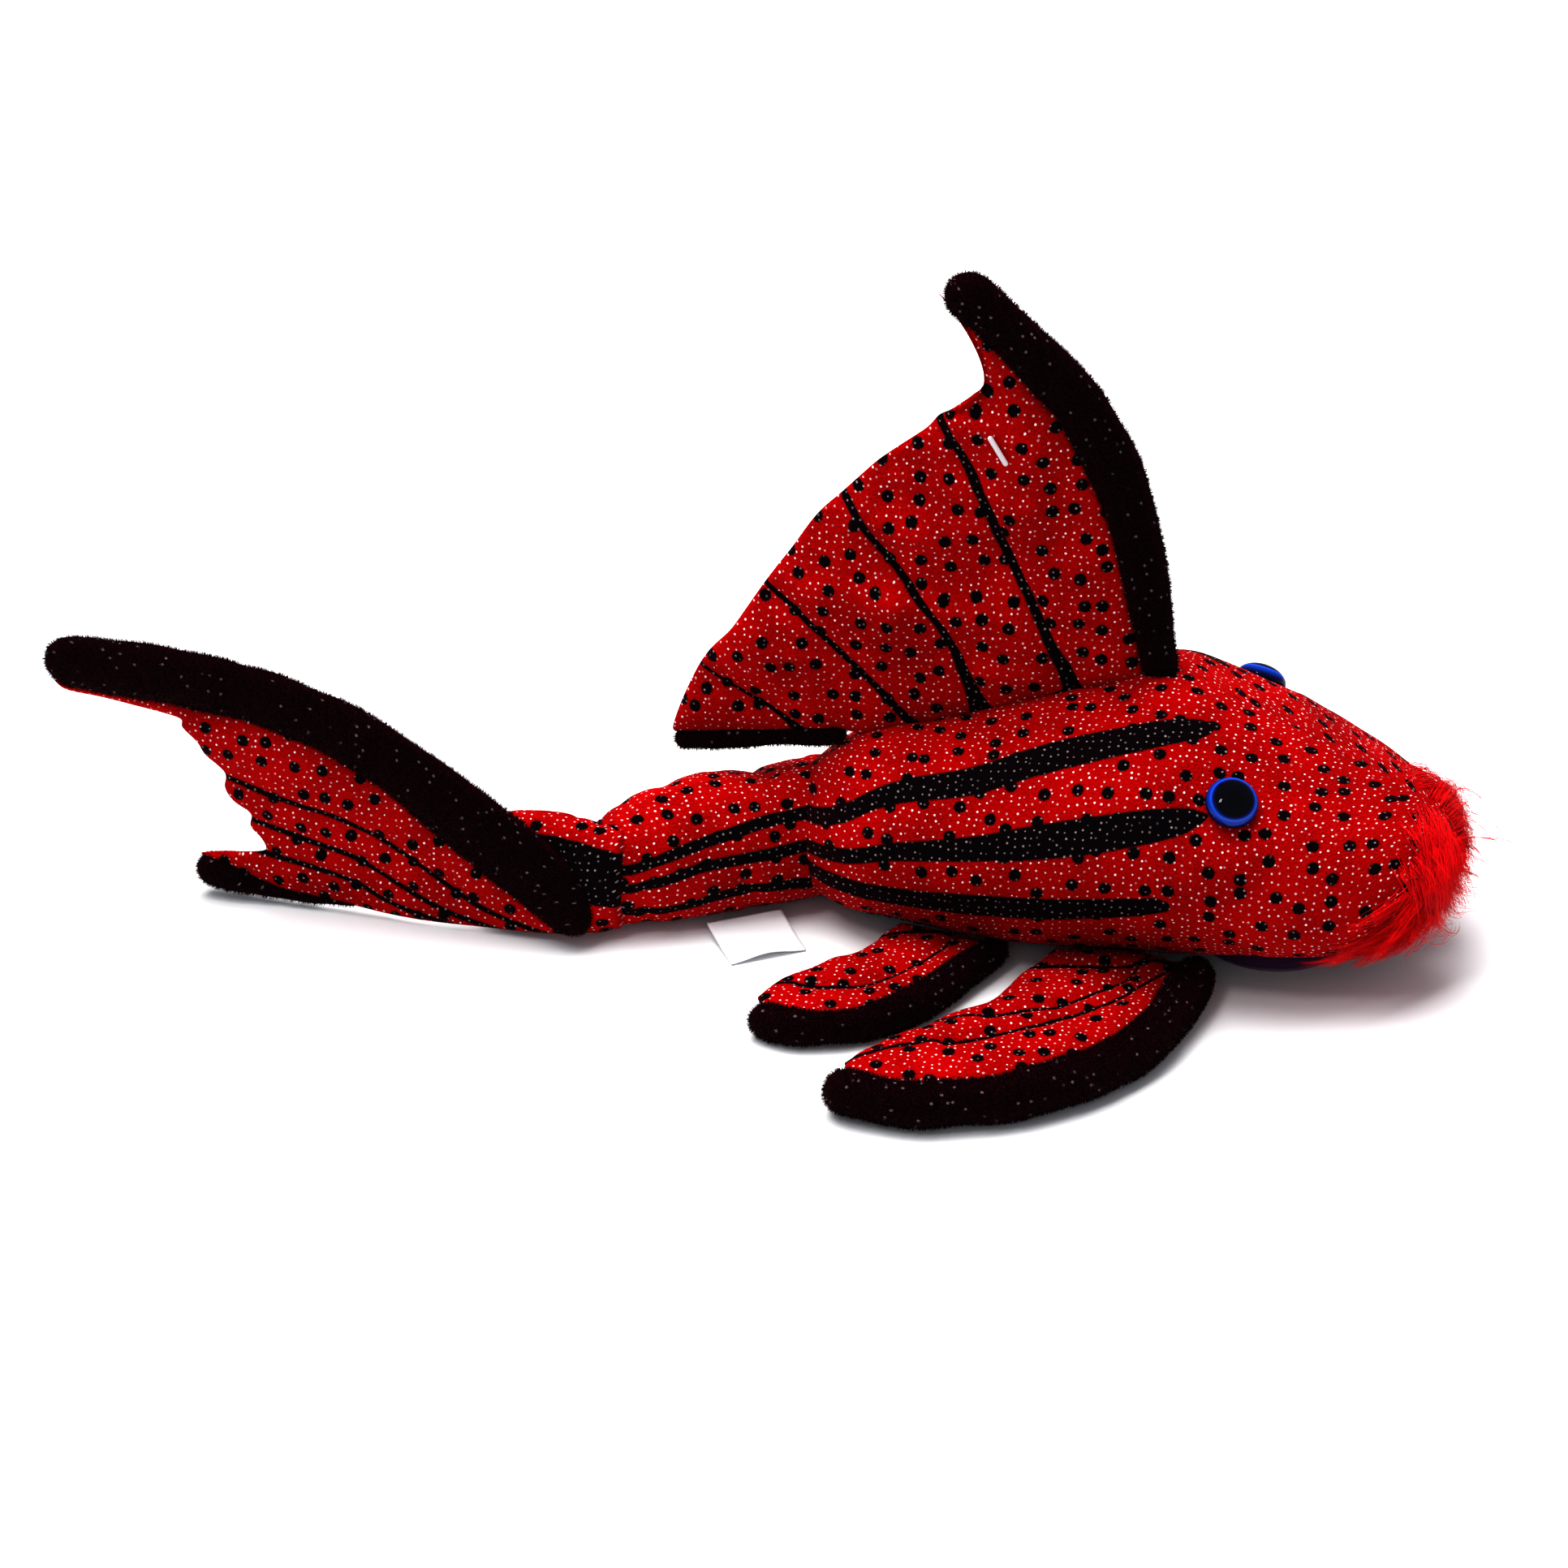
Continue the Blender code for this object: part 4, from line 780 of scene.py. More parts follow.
cup_vinyl, vinyl_tree, vinyl_shader = new_finish(
    "cup_vinyl", Base_Color=(0.66, 0.34, 0.68, 1.0), Roughness=0.10, IOR=1.5, Transmission_Weight=0.82,
    Coat_Weight=0.3,
)
vinyl_haze = wire(vinyl_tree, "ShaderNodeTexNoise", {"Scale": 160.0, "Detail": 2.0})
raise_grain(vinyl_tree, vinyl_shader, vinyl_haze.outputs[0], 0.15, 0.0002)
cup_profile = [(0.0001, CUP_SHOULDER * 0.58)]
cup_profile += [
    (CUP_RADIUS * wide, CUP_SHOULDER * high)
    for wide, high in ((0.25, 0.56), (0.50, 0.43), (0.66, 0.30), (0.78, 0.17), (0.86, 0.07), (0.90, 0.0))
]
cup_profile += [(CUP_RADIUS * 0.95, 0.0), (CUP_RADIUS * 0.992, 0.00005), (CUP_RADIUS, 0.0003)]
cup_profile += [(CUP_RADIUS, 0.0006), (CUP_RADIUS * 0.985, 0.0009), (CUP_RADIUS * 0.92, CUP_SHOULDER * 0.26)]
cup_profile += [
    (CUP_RADIUS * wide, CUP_SHOULDER * high)
    for wide, high in ((0.80, 0.42), (0.66, 0.60), (0.50, 0.78), (0.36, 0.92), (0.28, 0.99), (0.22, 1.0))
]
cup_profile += [(CUP_STEM, 0.0052), (CUP_STEM, 0.0078), (0.0052, 0.0081), (0.0056, 0.0092)]
cup_profile += [(0.0045, 0.0104), (0.0001, 0.0106)]
add_piece(
    "vinyl_cup", turned("vinyl_cup", cup_profile, CUP_MIDDLE, Vector((0, 0, 1)), 96), cup_vinyl,
    "suction_cup_body", ("suction_cup",),
)


# ---- Dorsal fin
# A tall sail of printed pile over thin wadding, quilted along four printed rays, with a padded
# black plush roll up its front edge and a thin one along its foot. It is sewn to the back.
# Rolls: place along, height, half width
DORSAL_FRONT = (
    (-0.0345, 0.0745, 0.0046),
    (-0.0352, 0.0825, 0.0052),
    (-0.0376, 0.0960, 0.0058),
    (-0.0428, 0.1180, 0.0068),
    (-0.0498, 0.1375, 0.0073),
    (-0.0576, 0.1512, 0.0071),
    (-0.0661, 0.1602, 0.0067),
    (-0.0747, 0.1683, 0.0065),
    (-0.0828, 0.1756, 0.0065),
    (-0.0905, 0.1822, 0.0066),
    (-0.0935, 0.1848, 0.0064),
)
DORSAL_FOOT = (
    (-0.1210, 0.0500, 0.0022),
    (-0.1260, 0.0484, 0.0026),
    (-0.1400, 0.0466, 0.0028),
    (-0.1560, 0.0444, 0.0029),
    (-0.1690, 0.0432, 0.0027),
)
DORSAL_TRAIL = (
    (-0.1695, 0.0475),
    (-0.1655, 0.0590),
    (-0.1600, 0.0700),
    (-0.1520, 0.0800),
    (-0.1428, 0.0945),
    (-0.1362, 0.1040),
    (-0.1290, 0.1150),
    (-0.1215, 0.1225),
    (-0.1120, 0.1325),
    (-0.1000, 0.1422),
    (-0.0950, 0.1478),
    (-0.0868, 0.1505),
    (-0.0838, 0.1555),
    (-0.0850, 0.1640),
    (-0.0892, 0.1725),
    (-0.0925, 0.1765),
)
# Rays: place up the fin, place along it, half width
DORSAL_RAYS = (
    ((0.1490, -0.0972, 0.0016), (0.1316, -0.0864, 0.0016), (0.1066, -0.0748, 0.0016),
     (0.0906, -0.0667, 0.0016), (0.0790, -0.0608, 0.0020), (0.0700, -0.0571, 0.0040)),
    ((0.1225, -0.1222, 0.0014), (0.1113, -0.1137, 0.0014), (0.0980, -0.1023, 0.0014),
     (0.0855, -0.0932, 0.0014), (0.0738, -0.0874, 0.0019), (0.0615, -0.0821, 0.0037)),
    ((0.0945, -0.1435, 0.0014), (0.0842, -0.1303, 0.0014), (0.0730, -0.1189, 0.0014),
     (0.0618, -0.1075, 0.0017), (0.0545, -0.1005, 0.0031)),
    ((0.0678, -0.1630, 0.0012), (0.0600, -0.1486, 0.0012), (0.0536, -0.1371, 0.0016),
     (0.0491, -0.1325, 0.0025), (0.0460, -0.1279, 0.0034)),
)
# Soft folds that hang across the sail: their upper line, depth and softness
DORSAL_FOLDS = (
    (-0.1045, 0.0975, -0.0640, 0.0880, 0.0058, 0.0040),
    (-0.0870, 0.1300, -0.0700, 0.1262, 0.0038, 0.0036),
    (-0.0880, 0.1490, -0.0690, 0.1440, 0.0044, 0.0036),
    (-0.1240, 0.1005, -0.1060, 0.0955, 0.0038, 0.0036),
    (-0.1500, 0.0800, -0.1300, 0.0740, 0.0032, 0.0036),
    (-0.1150, 0.1180, -0.1000, 0.1150, 0.0028, 0.0036),
    (-0.0700, 0.1080, -0.0560, 0.1060, 0.0024, 0.0034),
)
DORSAL_HINGE = ((-0.0330, 0.0778), (-0.1150, 0.0510))
FIN_EDGE = 0.0009
FIN_PUFF = 0.0027
FIN_ROWS = 120
FIN_COLUMNS = 74
ROLL_RINGS = 110
ROLL_ROUND = 36
NAP_SPACING = 0.00052
NAP_LENGTH = 0.0011
NAP_WIDTH = 0.00017


def eased(controls, shares):
    """Values at each share, 0 to 1, of an even curve through the controls."""
    table = np.array(controls, float)
    last = len(table) - 1
    spot = np.clip(shares, 0, 1) * last
    i = np.minimum(spot.astype(int), last - 1)
    t = (spot - i)[:, None]
    before, start = table[np.maximum(i - 1, 0)], table[i]
    end, after = table[i + 1], table[np.minimum(i + 2, last)]
    bend = 2 * before - 5 * start + 4 * end - after
    turn = 3 * start - before - 3 * end + after
    return 0.5 * (2 * start + (end - before) * t + bend * t**2 + turn * t**3)


def leftward_of(controls, shares):
    run = eased(controls, np.minimum(shares + 0.01, 1)) - eased(controls, np.maximum(shares - 0.01, 0))
    run = run[:, :2] / np.linalg.norm(run[:, :2], axis=1, keepdims=True)
    return np.stack([-run[:, 1], run[:, 0]], 1)


def beside_roll(controls, shares, side, tuck=0.0012):
    """The line on a roll's left (1) or right (-1) that the fin's cloth is tucked in under."""
    spots = eased(controls, shares)
    return spots[:, :2] + leftward_of(controls, shares) * side * (spots[:, 2:3] - tuck)


def cloth_grid(lead, trail, base, tip):
    """Plane points between four boundary lines that share their corners."""
    far = np.linspace(0, 1, len(lead))[:, None, None]
    over = np.linspace(0, 1, len(base))[None, :, None]
    ruled = lead[:, None] * (1 - over) + trail[:, None] * over
    crossed = base[None] * (1 - far) + tip[None] * far
    near = (base[0] * (1 - over) + base[-1] * over) * (1 - far)
    distant = (tip[0] * (1 - over) + tip[-1] * over) * far
    return ruled + crossed - near - distant


def distance_to(lines, spots):
    nearest = np.full(len(spots), 1.0)
    for line in lines:
        for start, end in zip(np.array(line)[:-1], np.array(line)[1:]):
            run = end - start
            share = np.clip((spots - start) @ run / max(run @ run, 1e-12), 0, 1)
            nearest = np.minimum(nearest, np.linalg.norm(spots - start - share[:, None] * run, axis=1))
    return nearest


def fold_heights(spots, folds):
    """How far the folds push each spot out: a ledge under each line that dies away below it."""
    total = np.zeros(len(spots))
    for x_from, z_from, x_to, z_to, depth, softness in folds:
        start = np.array([x_from, z_from])
        run = np.array([x_to, z_to]) - start
        length = np.linalg.norm(run)
        run = run / length
        along = (spots - start) @ run
        below = (spots - start) @ np.array([run[1], -run[0]])
        outside = np.maximum(np.maximum(-along, along - length), 0)
        ledge = 1 / (1 + np.exp(np.clip(-below / softness * 2, -30, 30)))
        total += depth * ledge * np.exp(-np.maximum(below, 0) / 0.014 - (outside / 0.006) ** 2)
    return total


def quilted(name, place, grid, rays, puff, fold, fold_size, seed, folds):
    """A fin's cloth, both faces in one closed cover: full between its quilted rays, thin along
    its edges, and softly folded. place puts (along, up, height off the plane) in the world."""
    rows, columns = grid.shape[:2]
    spots = grid.reshape(-1, 2)
    outline = [grid[0], grid[-1], grid[:, 0], grid[:, -1]]
    from_edge = distance_to(outline, spots)
    from_ray = distance_to(rays, spots) if rays else np.full(len(spots), 1.0)
    from_base = distance_to([grid[0], grid[:, 0]], spots)
    full = (1 - np.exp(-from_edge / 0.0042)) * (1 - 0.78 * np.exp(-((from_ray / 0.0026) ** 2)))
    half = FIN_EDGE * np.minimum(1, 0.35 + from_edge / 0.0015) + puff * full
    pushed = fold_heights(spots, folds)
    rings = []
    for side in (1, -1):
        face = []
        for (a, b), rise, near, push in zip(spots, half, from_base, pushed):
            soft = noise.noise(Vector((a / fold_size[0], b / fold_size[1], seed)))
            soft += 0.35 * noise.noise(Vector((a / fold_size[0] * 2.7, b / fold_size[1] * 2.7, seed + 5)))
            pucker = 0.16 * noise.noise(Vector((a / 0.0045, b / 0.0045, seed + 9 * side)))
            shift = (fold * soft + push) * min(1.0, near / 0.010)
            face.append(place(a, b, shift + side * rise * (1 + pucker)))
        rings.append(np.array(face).reshape(rows, columns, 3))
    points = np.concatenate([rings[0], rings[1][:, ::-1]], 1)
    marks = np.concatenate([grid, grid[:, ::-1], grid[:, :1]], 1)
    return wrapped(name, points, marks)


def padded_roll(name, place, controls, thickness, seed):
    """A stuffed tube along the controls (along, up, half width) with round ends."""
    shares = np.linspace(0, 1, ROLL_RINGS)
    spots = eased(controls, shares)
    across = leftward_of(controls, shares)
    run = np.concatenate([[0], np.cumsum(np.linalg.norm(np.diff(spots[:, :2], axis=0), axis=1))])
    rings = []
    marks = []
    for spot, way, length in zip(spots, across, run):
        end = min(length, run[-1] - length) / (spot[2] * 1.1)
        round_off = math.sqrt(max(1 - max(1 - end, 0) ** 2, 0.0004))
        ring = []
        line = []
        for angle in np.linspace(0, 2 * math.pi, ROLL_ROUND + 1):
            out = spot[2] * round_off * math.cos(angle)
            up = min(thickness, spot[2]) * round_off * math.sin(angle)
            ring.append(place(spot[0] + way[0] * out, spot[1] + way[1] * out, up))
            line.append((length, spot[2] * angle))
        rings.append(ring[:-1])
        marks.append(line)
    mesh = wrapped(name, np.array(rings), np.array(marks))
    uneven(mesh, 0.016, 0.0009, seed)
    uneven(mesh, 0.006, 0.0003, seed + 2)
    return mesh


def add_roll(name, place, controls, thickness, seed, stands_for):
    """A black plush roll with its nap."""
    mesh = padded_roll(name, place, controls, thickness, seed)
    roll = add_piece(name, mesh, plush, None, stands_for)
    fibres = nap(f"{name}_nap", roll, None, NAP_SPACING, NAP_LENGTH, NAP_WIDTH, (-0.25, 0, 0), seed)
    for piece in (roll, fibres):
        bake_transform(piece)


def add_fin_cloth(name, place, grid, rays, shape, seed, finish, stands_for, folds=()):
    """A fin's quilted cloth. shape is (puff, soft folds' depth, their size)."""
    mesh = quilted(name, place, grid, rays, *shape, seed, folds)
    cloth = add_piece(name, mesh, finish, None, stands_for)
    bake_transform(cloth)
    return cloth


def dorsal_place(a, b, height):
    return (CUP_MIDDLE.x + a, CUP_MIDDLE.y - height, b)


shares = np.linspace(0, 1, FIN_ROWS)
dorsal_lead = beside_roll(DORSAL_FRONT, shares * 0.97 + 0.02, 1)
foot_line = beside_roll(DORSAL_FOOT, np.linspace(0.1, 1.0, 30), -1, 0.0008)
back_line = np.linspace(DORSAL_HINGE[0], DORSAL_HINGE[1], 40) + np.array([0.0, -0.0012])
dorsal_base = np.concatenate([dorsal_lead[:1], back_line[2:], foot_line])
base_run = np.concatenate([[0], np.cumsum(np.linalg.norm(np.diff(dorsal_base, axis=0), axis=1))])
even_run = np.linspace(0, base_run[-1], FIN_COLUMNS)
dorsal_base = np.stack([np.interp(even_run, base_run, dorsal_base[:, k]) for k in (0, 1)], 1)
dorsal_trail = eased([tuple(dorsal_base[-1])] + list(DORSAL_TRAIL), shares)
dorsal_tip = np.linspace(dorsal_lead[-1], dorsal_trail[-1], FIN_COLUMNS)
dorsal_grid = cloth_grid(dorsal_lead, dorsal_trail, dorsal_base, dorsal_tip)
ray_lines = [[(x, z) for z, x, _ in ray] for ray in DORSAL_RAYS]

dorsal_web = add_fin_cloth(
    "dorsal_cloth", dorsal_place, dorsal_grid, ray_lines, (FIN_PUFF, 0.0030, (0.060, 0.019)), 1.0,
    printed_pile("dorsal_pile", rays=DORSAL_RAYS),
    ("dorsal_web_left", "dorsal_web_right", "dorsal_batting", "dorsal_seam"),
    DORSAL_FOLDS,
)
add_roll("dorsal_front_roll", dorsal_place, DORSAL_FRONT, 0.0047, 21, ("dorsal_edge_front",))
add_roll("dorsal_foot_roll", dorsal_place, DORSAL_FOOT, 0.0030, 22, ("dorsal_edge_rear",))


# ---- Tag fastener
# A moulded plastic pin shot through the dorsal fin: a bar lies on the right face, a stem goes
# through the cloth, and a paddle lies on the left face.
PIN_PLACE = (-0.0790, 0.1410)
PIN_SLANT = math.radians(-58)
PIN_REACH = 0.0042
# Half length and radius of the bar and the paddle
PIN_BAR = (0.0047, 0.00072)
PIN_PADDLE = (0.0030, 0.00072)
PIN_STEM_RADIUS = 0.0004

pin_plastic, pin_tree, pin_shader = new_finish(
    "pin_plastic", Base_Color=(0.66, 0.60, 0.62, 1.0), Roughness=0.38, Subsurface_Weight=0.2,
    Subsurface_Radius=(0.001, 0.001, 0.001),
)
pin_grain = wire(pin_tree, "ShaderNodeTexNoise", {"Scale": 2500.0, "Detail": 1.0})
raise_grain(pin_tree, pin_shader, pin_grain.outputs[0], 0.4, 0.00005)
pin_way = Vector((math.cos(PIN_SLANT), 0.0, math.sin(PIN_SLANT)))
pin_spot = CUP_MIDDLE + Vector((PIN_PLACE[0], 0.0, PIN_PLACE[1]))
faces_there = [
    vertex.co.y for vertex in dorsal_web.data.vertices
    if math.hypot(vertex.co.x - pin_spot.x, vertex.co.z - pin_spot.z) < PIN_REACH
]
pin_right, pin_left = min(faces_there) - 0.0003, max(faces_there) + 0.0003
for rod, (half_length, radius), off, way in (
    ("bar", PIN_BAR, pin_right, pin_way),
    ("paddle", PIN_PADDLE, pin_left, pin_way),
    ("stem", ((pin_left - pin_right) / 2, PIN_STEM_RADIUS), (pin_left + pin_right) / 2, Vector((0, 1, 0))),
):
    ends = [
        (radius * math.sin(turn), -half_length + radius * (1 - math.cos(turn)))
        for turn in np.linspace(0.05, math.pi / 2, 6)
    ]
    profile = ends + [(wide, -high) for wide, high in ends[::-1]]
    middle = Vector((pin_spot.x, off, pin_spot.z))
    add_piece(
        f"pin_{rod}", turned(f"pin_{rod}", profile, middle, way, 20), pin_plastic,
        "dorsal_fin", ("tag_fastener",) if rod == "bar" else (),
    )


# ---- Tail stalk
# A narrower stuffed tube of the same printed pile, set into the body's rear end. Three printed
# bands run along it, and it rests in a bend to the right with soft creases across it.
STALK_PIVOT = Vector((-0.130, 0.0, 0.0))
STALK_TURN = math.radians(33.2)
STALK_ROWS = (
    (-0.0150, 0.0085, 0.0335, 0.0020, 0.0190),
    (-0.0140, 0.0050, 0.0368, 0.0085, 0.0190),
    (-0.0105, 0.0028, 0.0384, 0.0146, 0.0190),
    (-0.0050, 0.0018, 0.0394, 0.0186, 0.0190),
    (0.0010, 0.0013, 0.0392, 0.0203, 0.0190),
    (0.0080, 0.0011, 0.0380, 0.0205, 0.0190),
    (0.0150, 0.0010, 0.0377, 0.0200, 0.0190),
    (0.0240, 0.0010, 0.0388, 0.0197, 0.0190),
    (0.0340, 0.0010, 0.0392, 0.0186, 0.0190),
    (0.0460, 0.0012, 0.0376, 0.0164, 0.0180),
    (0.0550, 0.0015, 0.0352, 0.0142, 0.0172),
    (0.0600, 0.0022, 0.0328, 0.0116, 0.0168),
    (0.0628, 0.0045, 0.0296, 0.0074, 0.0165),
    (0.0638, 0.0100, 0.0230, 0.0015, 0.0165),
)
STALK_BANDS = (
    (
        (-0.0150, 0.0330, 0.0022),
        (0.0000, 0.0328, 0.0021),
        (0.0179, 0.0321, 0.0019),
        (0.0300, 0.0308, 0.0018),
        (0.0419, 0.0282, 0.0018),
        (0.0574, 0.0235, 0.0016),
        (0.0640, 0.0215, 0.0016),
    ),
    (
        (-0.0150, 0.0262, 0.0021),
        (0.0000, 0.0250, 0.0020),
        (0.0124, 0.0243, 0.0019),
        (0.0312, 0.0236, 0.0017),
        (0.0535, 0.0187, 0.0016),
        (0.0640, 0.0165, 0.0015),
    ),
    (
        (-0.0150, 0.0165, 0.0021),
        (0.0069, 0.0135, 0.0019),
        (0.0314, 0.0134, 0.0017),
        (0.0467, 0.0098, 0.0016),
        (0.0640, 0.0075, 0.0015),
    ),
)
STALK_RINGS = 120
STALK_ROUND = 112
# Creases round the stalk: place, depth, half width, height that it is deepest at
STALK_CREASES = (
    (-0.0020, 0.0016, 0.0022, 0.020),
    (0.0125, 0.0011, 0.0024, 0.034),
    (0.0245, 0.0007, 0.0022, 0.012),
    (0.0400, 0.0008, 0.0026, 0.030),
    (0.0535, 0.0010, 0.0022, 0.018),
)


def ways_of(turn):
    """A tail part's own rearward and leftward ways, turned from the fish's line."""
    back = Vector((-math.cos(turn), -math.sin(turn), 0.0))
    return back, Vector((-math.sin(turn), math.cos(turn), 0.0))


def tube_cover(name, rows, counts, origin, turn, creases):
    """A stuffed tube that runs rearwards from origin, turned from the fish's own line."""
    back, left = ways_of(turn)
    first, last = rows[0][0], rows[-1][0]
    rings = []
    marks = []
    for share in np.linspace(0, 1, counts[0]):
        place = first + (last - first) * (share - 0.08 * math.sin(2 * math.pi * share))
        sizes = sizes_at(rows, place)
        across, height, cloth = girth(sizes, counts[1])
        sink = np.zeros(len(height))
        for at, depth, half, level in creases:
            wander = at + 0.0016 * np.sin(height * 260 + at * 900)
            near = np.exp(-(((place - wander) / half) ** 2) - ((height - level) / 0.016) ** 2)
            sink += depth * near
        inward = np.stack([-across, sizes[3] - height], 1)
        inward /= np.maximum(np.linalg.norm(inward, axis=1), 1e-6)[:, None]
        shrink = np.minimum(1, np.linalg.norm(np.stack([across, sizes[3] - height], 1), axis=1) / 0.008)
        moved = np.stack([across, height], 1) + inward * (sink * shrink)[:, None]
        line = CUP_MIDDLE + origin + back * place
        rings.append([tuple(line + left * y + Vector((0, 0, z))) for y, z in moved[:-1]])
        marks.append([(place, value) for value in cloth])
    mesh = wrapped(name, np.array(rings), np.array(marks))
    uneven(mesh, 0.015, 0.0010, 4.0)
    uneven(mesh, 0.005, 0.00028, 9.0)
    return mesh


def on_cloth(rows, bands):
    """Bands given by height, as lengths of cloth from the widest line."""
    return [[(at, cloth_height(sizes_at(rows, at), z), half) for at, z, half in band] for band in bands]


def add_tube(name, part, rows, bands, counts, origin, turn, creases):
    """A stuffed tube of printed pile in place of the part's two sides and its stuffing."""
    tube = add_piece(
        name, tube_cover(name, rows, counts, origin, turn, creases),
        printed_pile(f"{part}_pile", bands=on_cloth(rows, bands)), None,
        (f"tail_{part}_side_left", f"tail_{part}_side_right", f"tail_{part}_stuffing"),
    )
    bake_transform(tube)


stalk_back, stalk_left = ways_of(STALK_TURN)
add_tube(
    "stalk_cover", "stalk", STALK_ROWS, STALK_BANDS, (STALK_RINGS, STALK_ROUND), STALK_PIVOT, STALK_TURN,
    STALK_CREASES,
)


# ---- Care label
# A blank strip of white satin, folded in half over its free end. Its two cut edges are sewn in
# at the stalk's lower right side, and it lies out on the table.
LABEL_FROM = 0.0150
LABEL_WIDTH = 0.0220
LABEL_ROOT = (0.0148, 0.0032)
LABEL_REACH = 0.0190
LABEL_HALF_GAP = 0.00017
LABEL_FOLD = 0.0004
LABEL_STEPS = 34
LABEL_CLOTH = 0.00012

satin, satin_tree, satin_shader = new_finish("white_satin", Roughness=0.42, Anisotropic=0.4)
satin_inputs = {"Vector": marks_of(satin_tree, "print"), "Scale": 900.0, "Distortion": 0.6}
satin_weave = wire(satin_tree, "ShaderNodeTexWave", satin_inputs).outputs["Fac"]
satin_white = mixed(satin_tree, satin_weave, (0.78, 0.78, 0.80, 1.0), (0.88, 0.88, 0.90, 1.0))
satin_tree.links.new(satin_white, satin_shader.inputs["Base Color"])
raise_grain(satin_tree, satin_shader, satin_weave, 0.5, 0.00005)
label_rings = []
label_marks = []
for along in np.linspace(0, LABEL_WIDTH, 26):
    line = []
    for step in np.linspace(0, 1, LABEL_STEPS):
        line.append((LABEL_ROOT[0] + (LABEL_REACH - LABEL_FOLD) * step, LABEL_HALF_GAP))
    for turn in np.linspace(math.pi / 2, -math.pi / 2, 11)[1:-1]:
        reach = LABEL_ROOT[0] + LABEL_REACH - LABEL_FOLD + LABEL_FOLD * math.cos(turn)
        line.append((reach, LABEL_HALF_GAP * math.sin(turn)))
    line += [(out, -off) for out, off in line[:LABEL_STEPS][::-1]]
    line = np.array(line)
    run = np.gradient(line, axis=0)
    run /= np.linalg.norm(run, axis=1, keepdims=True)
    normal = np.stack([-run[:, 1], run[:, 0]], 1)
    ring = []
    face, back = line + normal * LABEL_CLOTH / 2, line - normal * LABEL_CLOTH / 2
    for out, off in np.concatenate([face, back[::-1]]):
        part = min(max((out - LABEL_ROOT[0]) / LABEL_REACH, 0), 1)
        drop = 0.0006 + (LABEL_ROOT[1] - 0.0006) * (1 - part) ** 1.6
        curl = 0.0014 * part**2 * math.sin(math.pi * along / LABEL_WIDTH) ** 2
        spot = CUP_MIDDLE + STALK_PIVOT + stalk_back * (LABEL_FROM + along) - stalk_left * out
        ring.append((spot.x, spot.y, drop + curl + off))
    cloth = np.concatenate([[0], np.cumsum(np.linalg.norm(np.diff(line, axis=0), axis=1))])
    cloth = np.concatenate([cloth, cloth[::-1], cloth[:1]])
    label_rings.append(ring)
    label_marks.append([(along, value) for value in cloth])
care_label = add_piece(
    "satin_label", wrapped("satin_label", np.array(label_rings), np.array(label_marks)), satin,
    "label_flap", ("care_label",),
)


# ---- Tail fin
# A stuffed root of printed pile carries a flat forked fin on its right side. The fin is quilted
# along fine stitched rays, with a wide black plush roll on top and a thin one under its tip.
TAIL_PIVOT = Vector((-0.1865, -0.0370, 0.0))
TAIL_TURN = math.radians(-4)
TAIL_SIDE = 0.0098
ROOT_ROWS = (
    (-0.0130, 0.0090, 0.0250, 0.0010, 0.0165),
    (-0.0122, 0.0052, 0.0298, 0.0050, 0.0165),
    (-0.0090, 0.0028, 0.0322, 0.0088, 0.0162),
    (-0.0035, 0.0018, 0.0336, 0.0106, 0.0160),
    (0.0020, 0.0016, 0.0345, 0.0108, 0.0160),
    (0.0090, 0.0016, 0.0350, 0.0102, 0.0160),
    (0.0170, 0.0018, 0.0346, 0.0090, 0.0160),
    (0.0240, 0.0026, 0.0324, 0.0068, 0.0160),
    (0.0290, 0.0055, 0.0284, 0.0034, 0.0160),
    (0.0300, 0.0110, 0.0220, 0.0008, 0.0160),
)
ROOT_COUNTS = (70, 84)
ROOT_CREASES = ((0.0035, 0.0008, 0.0016, 0.024),)
# The root's black patch: place, height of its middle, half width
ROOT_BANDS = (
    (
        (-0.0130, 0.0195, 0.0080),
        (-0.0040, 0.0228, 0.0085),
        (0.0060, 0.0245, 0.0080),
        (0.0150, 0.0245, 0.0070),
        (0.0300, 0.0230, 0.0060),
    ),
)
TAIL_UPPER = (
    (-0.0035, 0.0055, 0.0046),
    (0.0035, 0.0135, 0.0082),
    (0.0130, 0.0225, 0.0100),
    (0.0290, 0.0340, 0.0098),
    (0.0450, 0.0460, 0.0092),
    (0.0660, 0.0575, 0.0084),
    (0.0930, 0.0650, 0.0084),
    (0.1260, 0.0675, 0.0080),
    (0.1525, 0.0672, 0.0072),
)
TAIL_FOOT = (
    (0.0030, 0.0034),
    (0.0160, 0.0024),
    (0.0350, 0.0017),
    (0.0540, 0.0017),
    (0.0680, 0.0026),
)
TAIL_LOWER = (
    (0.0640, 0.0030, 0.0009),
    (0.0780, 0.0034, 0.0012),
    (0.0900, 0.0044, 0.0022),
    (0.1010, 0.0064, 0.0039),
    (0.1110, 0.0090, 0.0049),
)
TAIL_REAR = (
    (0.1470, 0.0588),
    (0.1370, 0.0580),
    (0.1270, 0.0568),
    (0.1180, 0.0556),
    (0.1130, 0.0545),
    (0.1125, 0.0520),
    (0.1085, 0.0480),
    (0.1062, 0.0440),
    (0.1010, 0.0395),
    (0.1012, 0.0350),
    (0.0990, 0.0310),
    (0.0942, 0.0275),
    (0.0945, 0.0235),
    (0.0915, 0.0200),
    (0.0905, 0.0165),
    (0.0965, 0.0150),
    (0.1030, 0.0142),
)
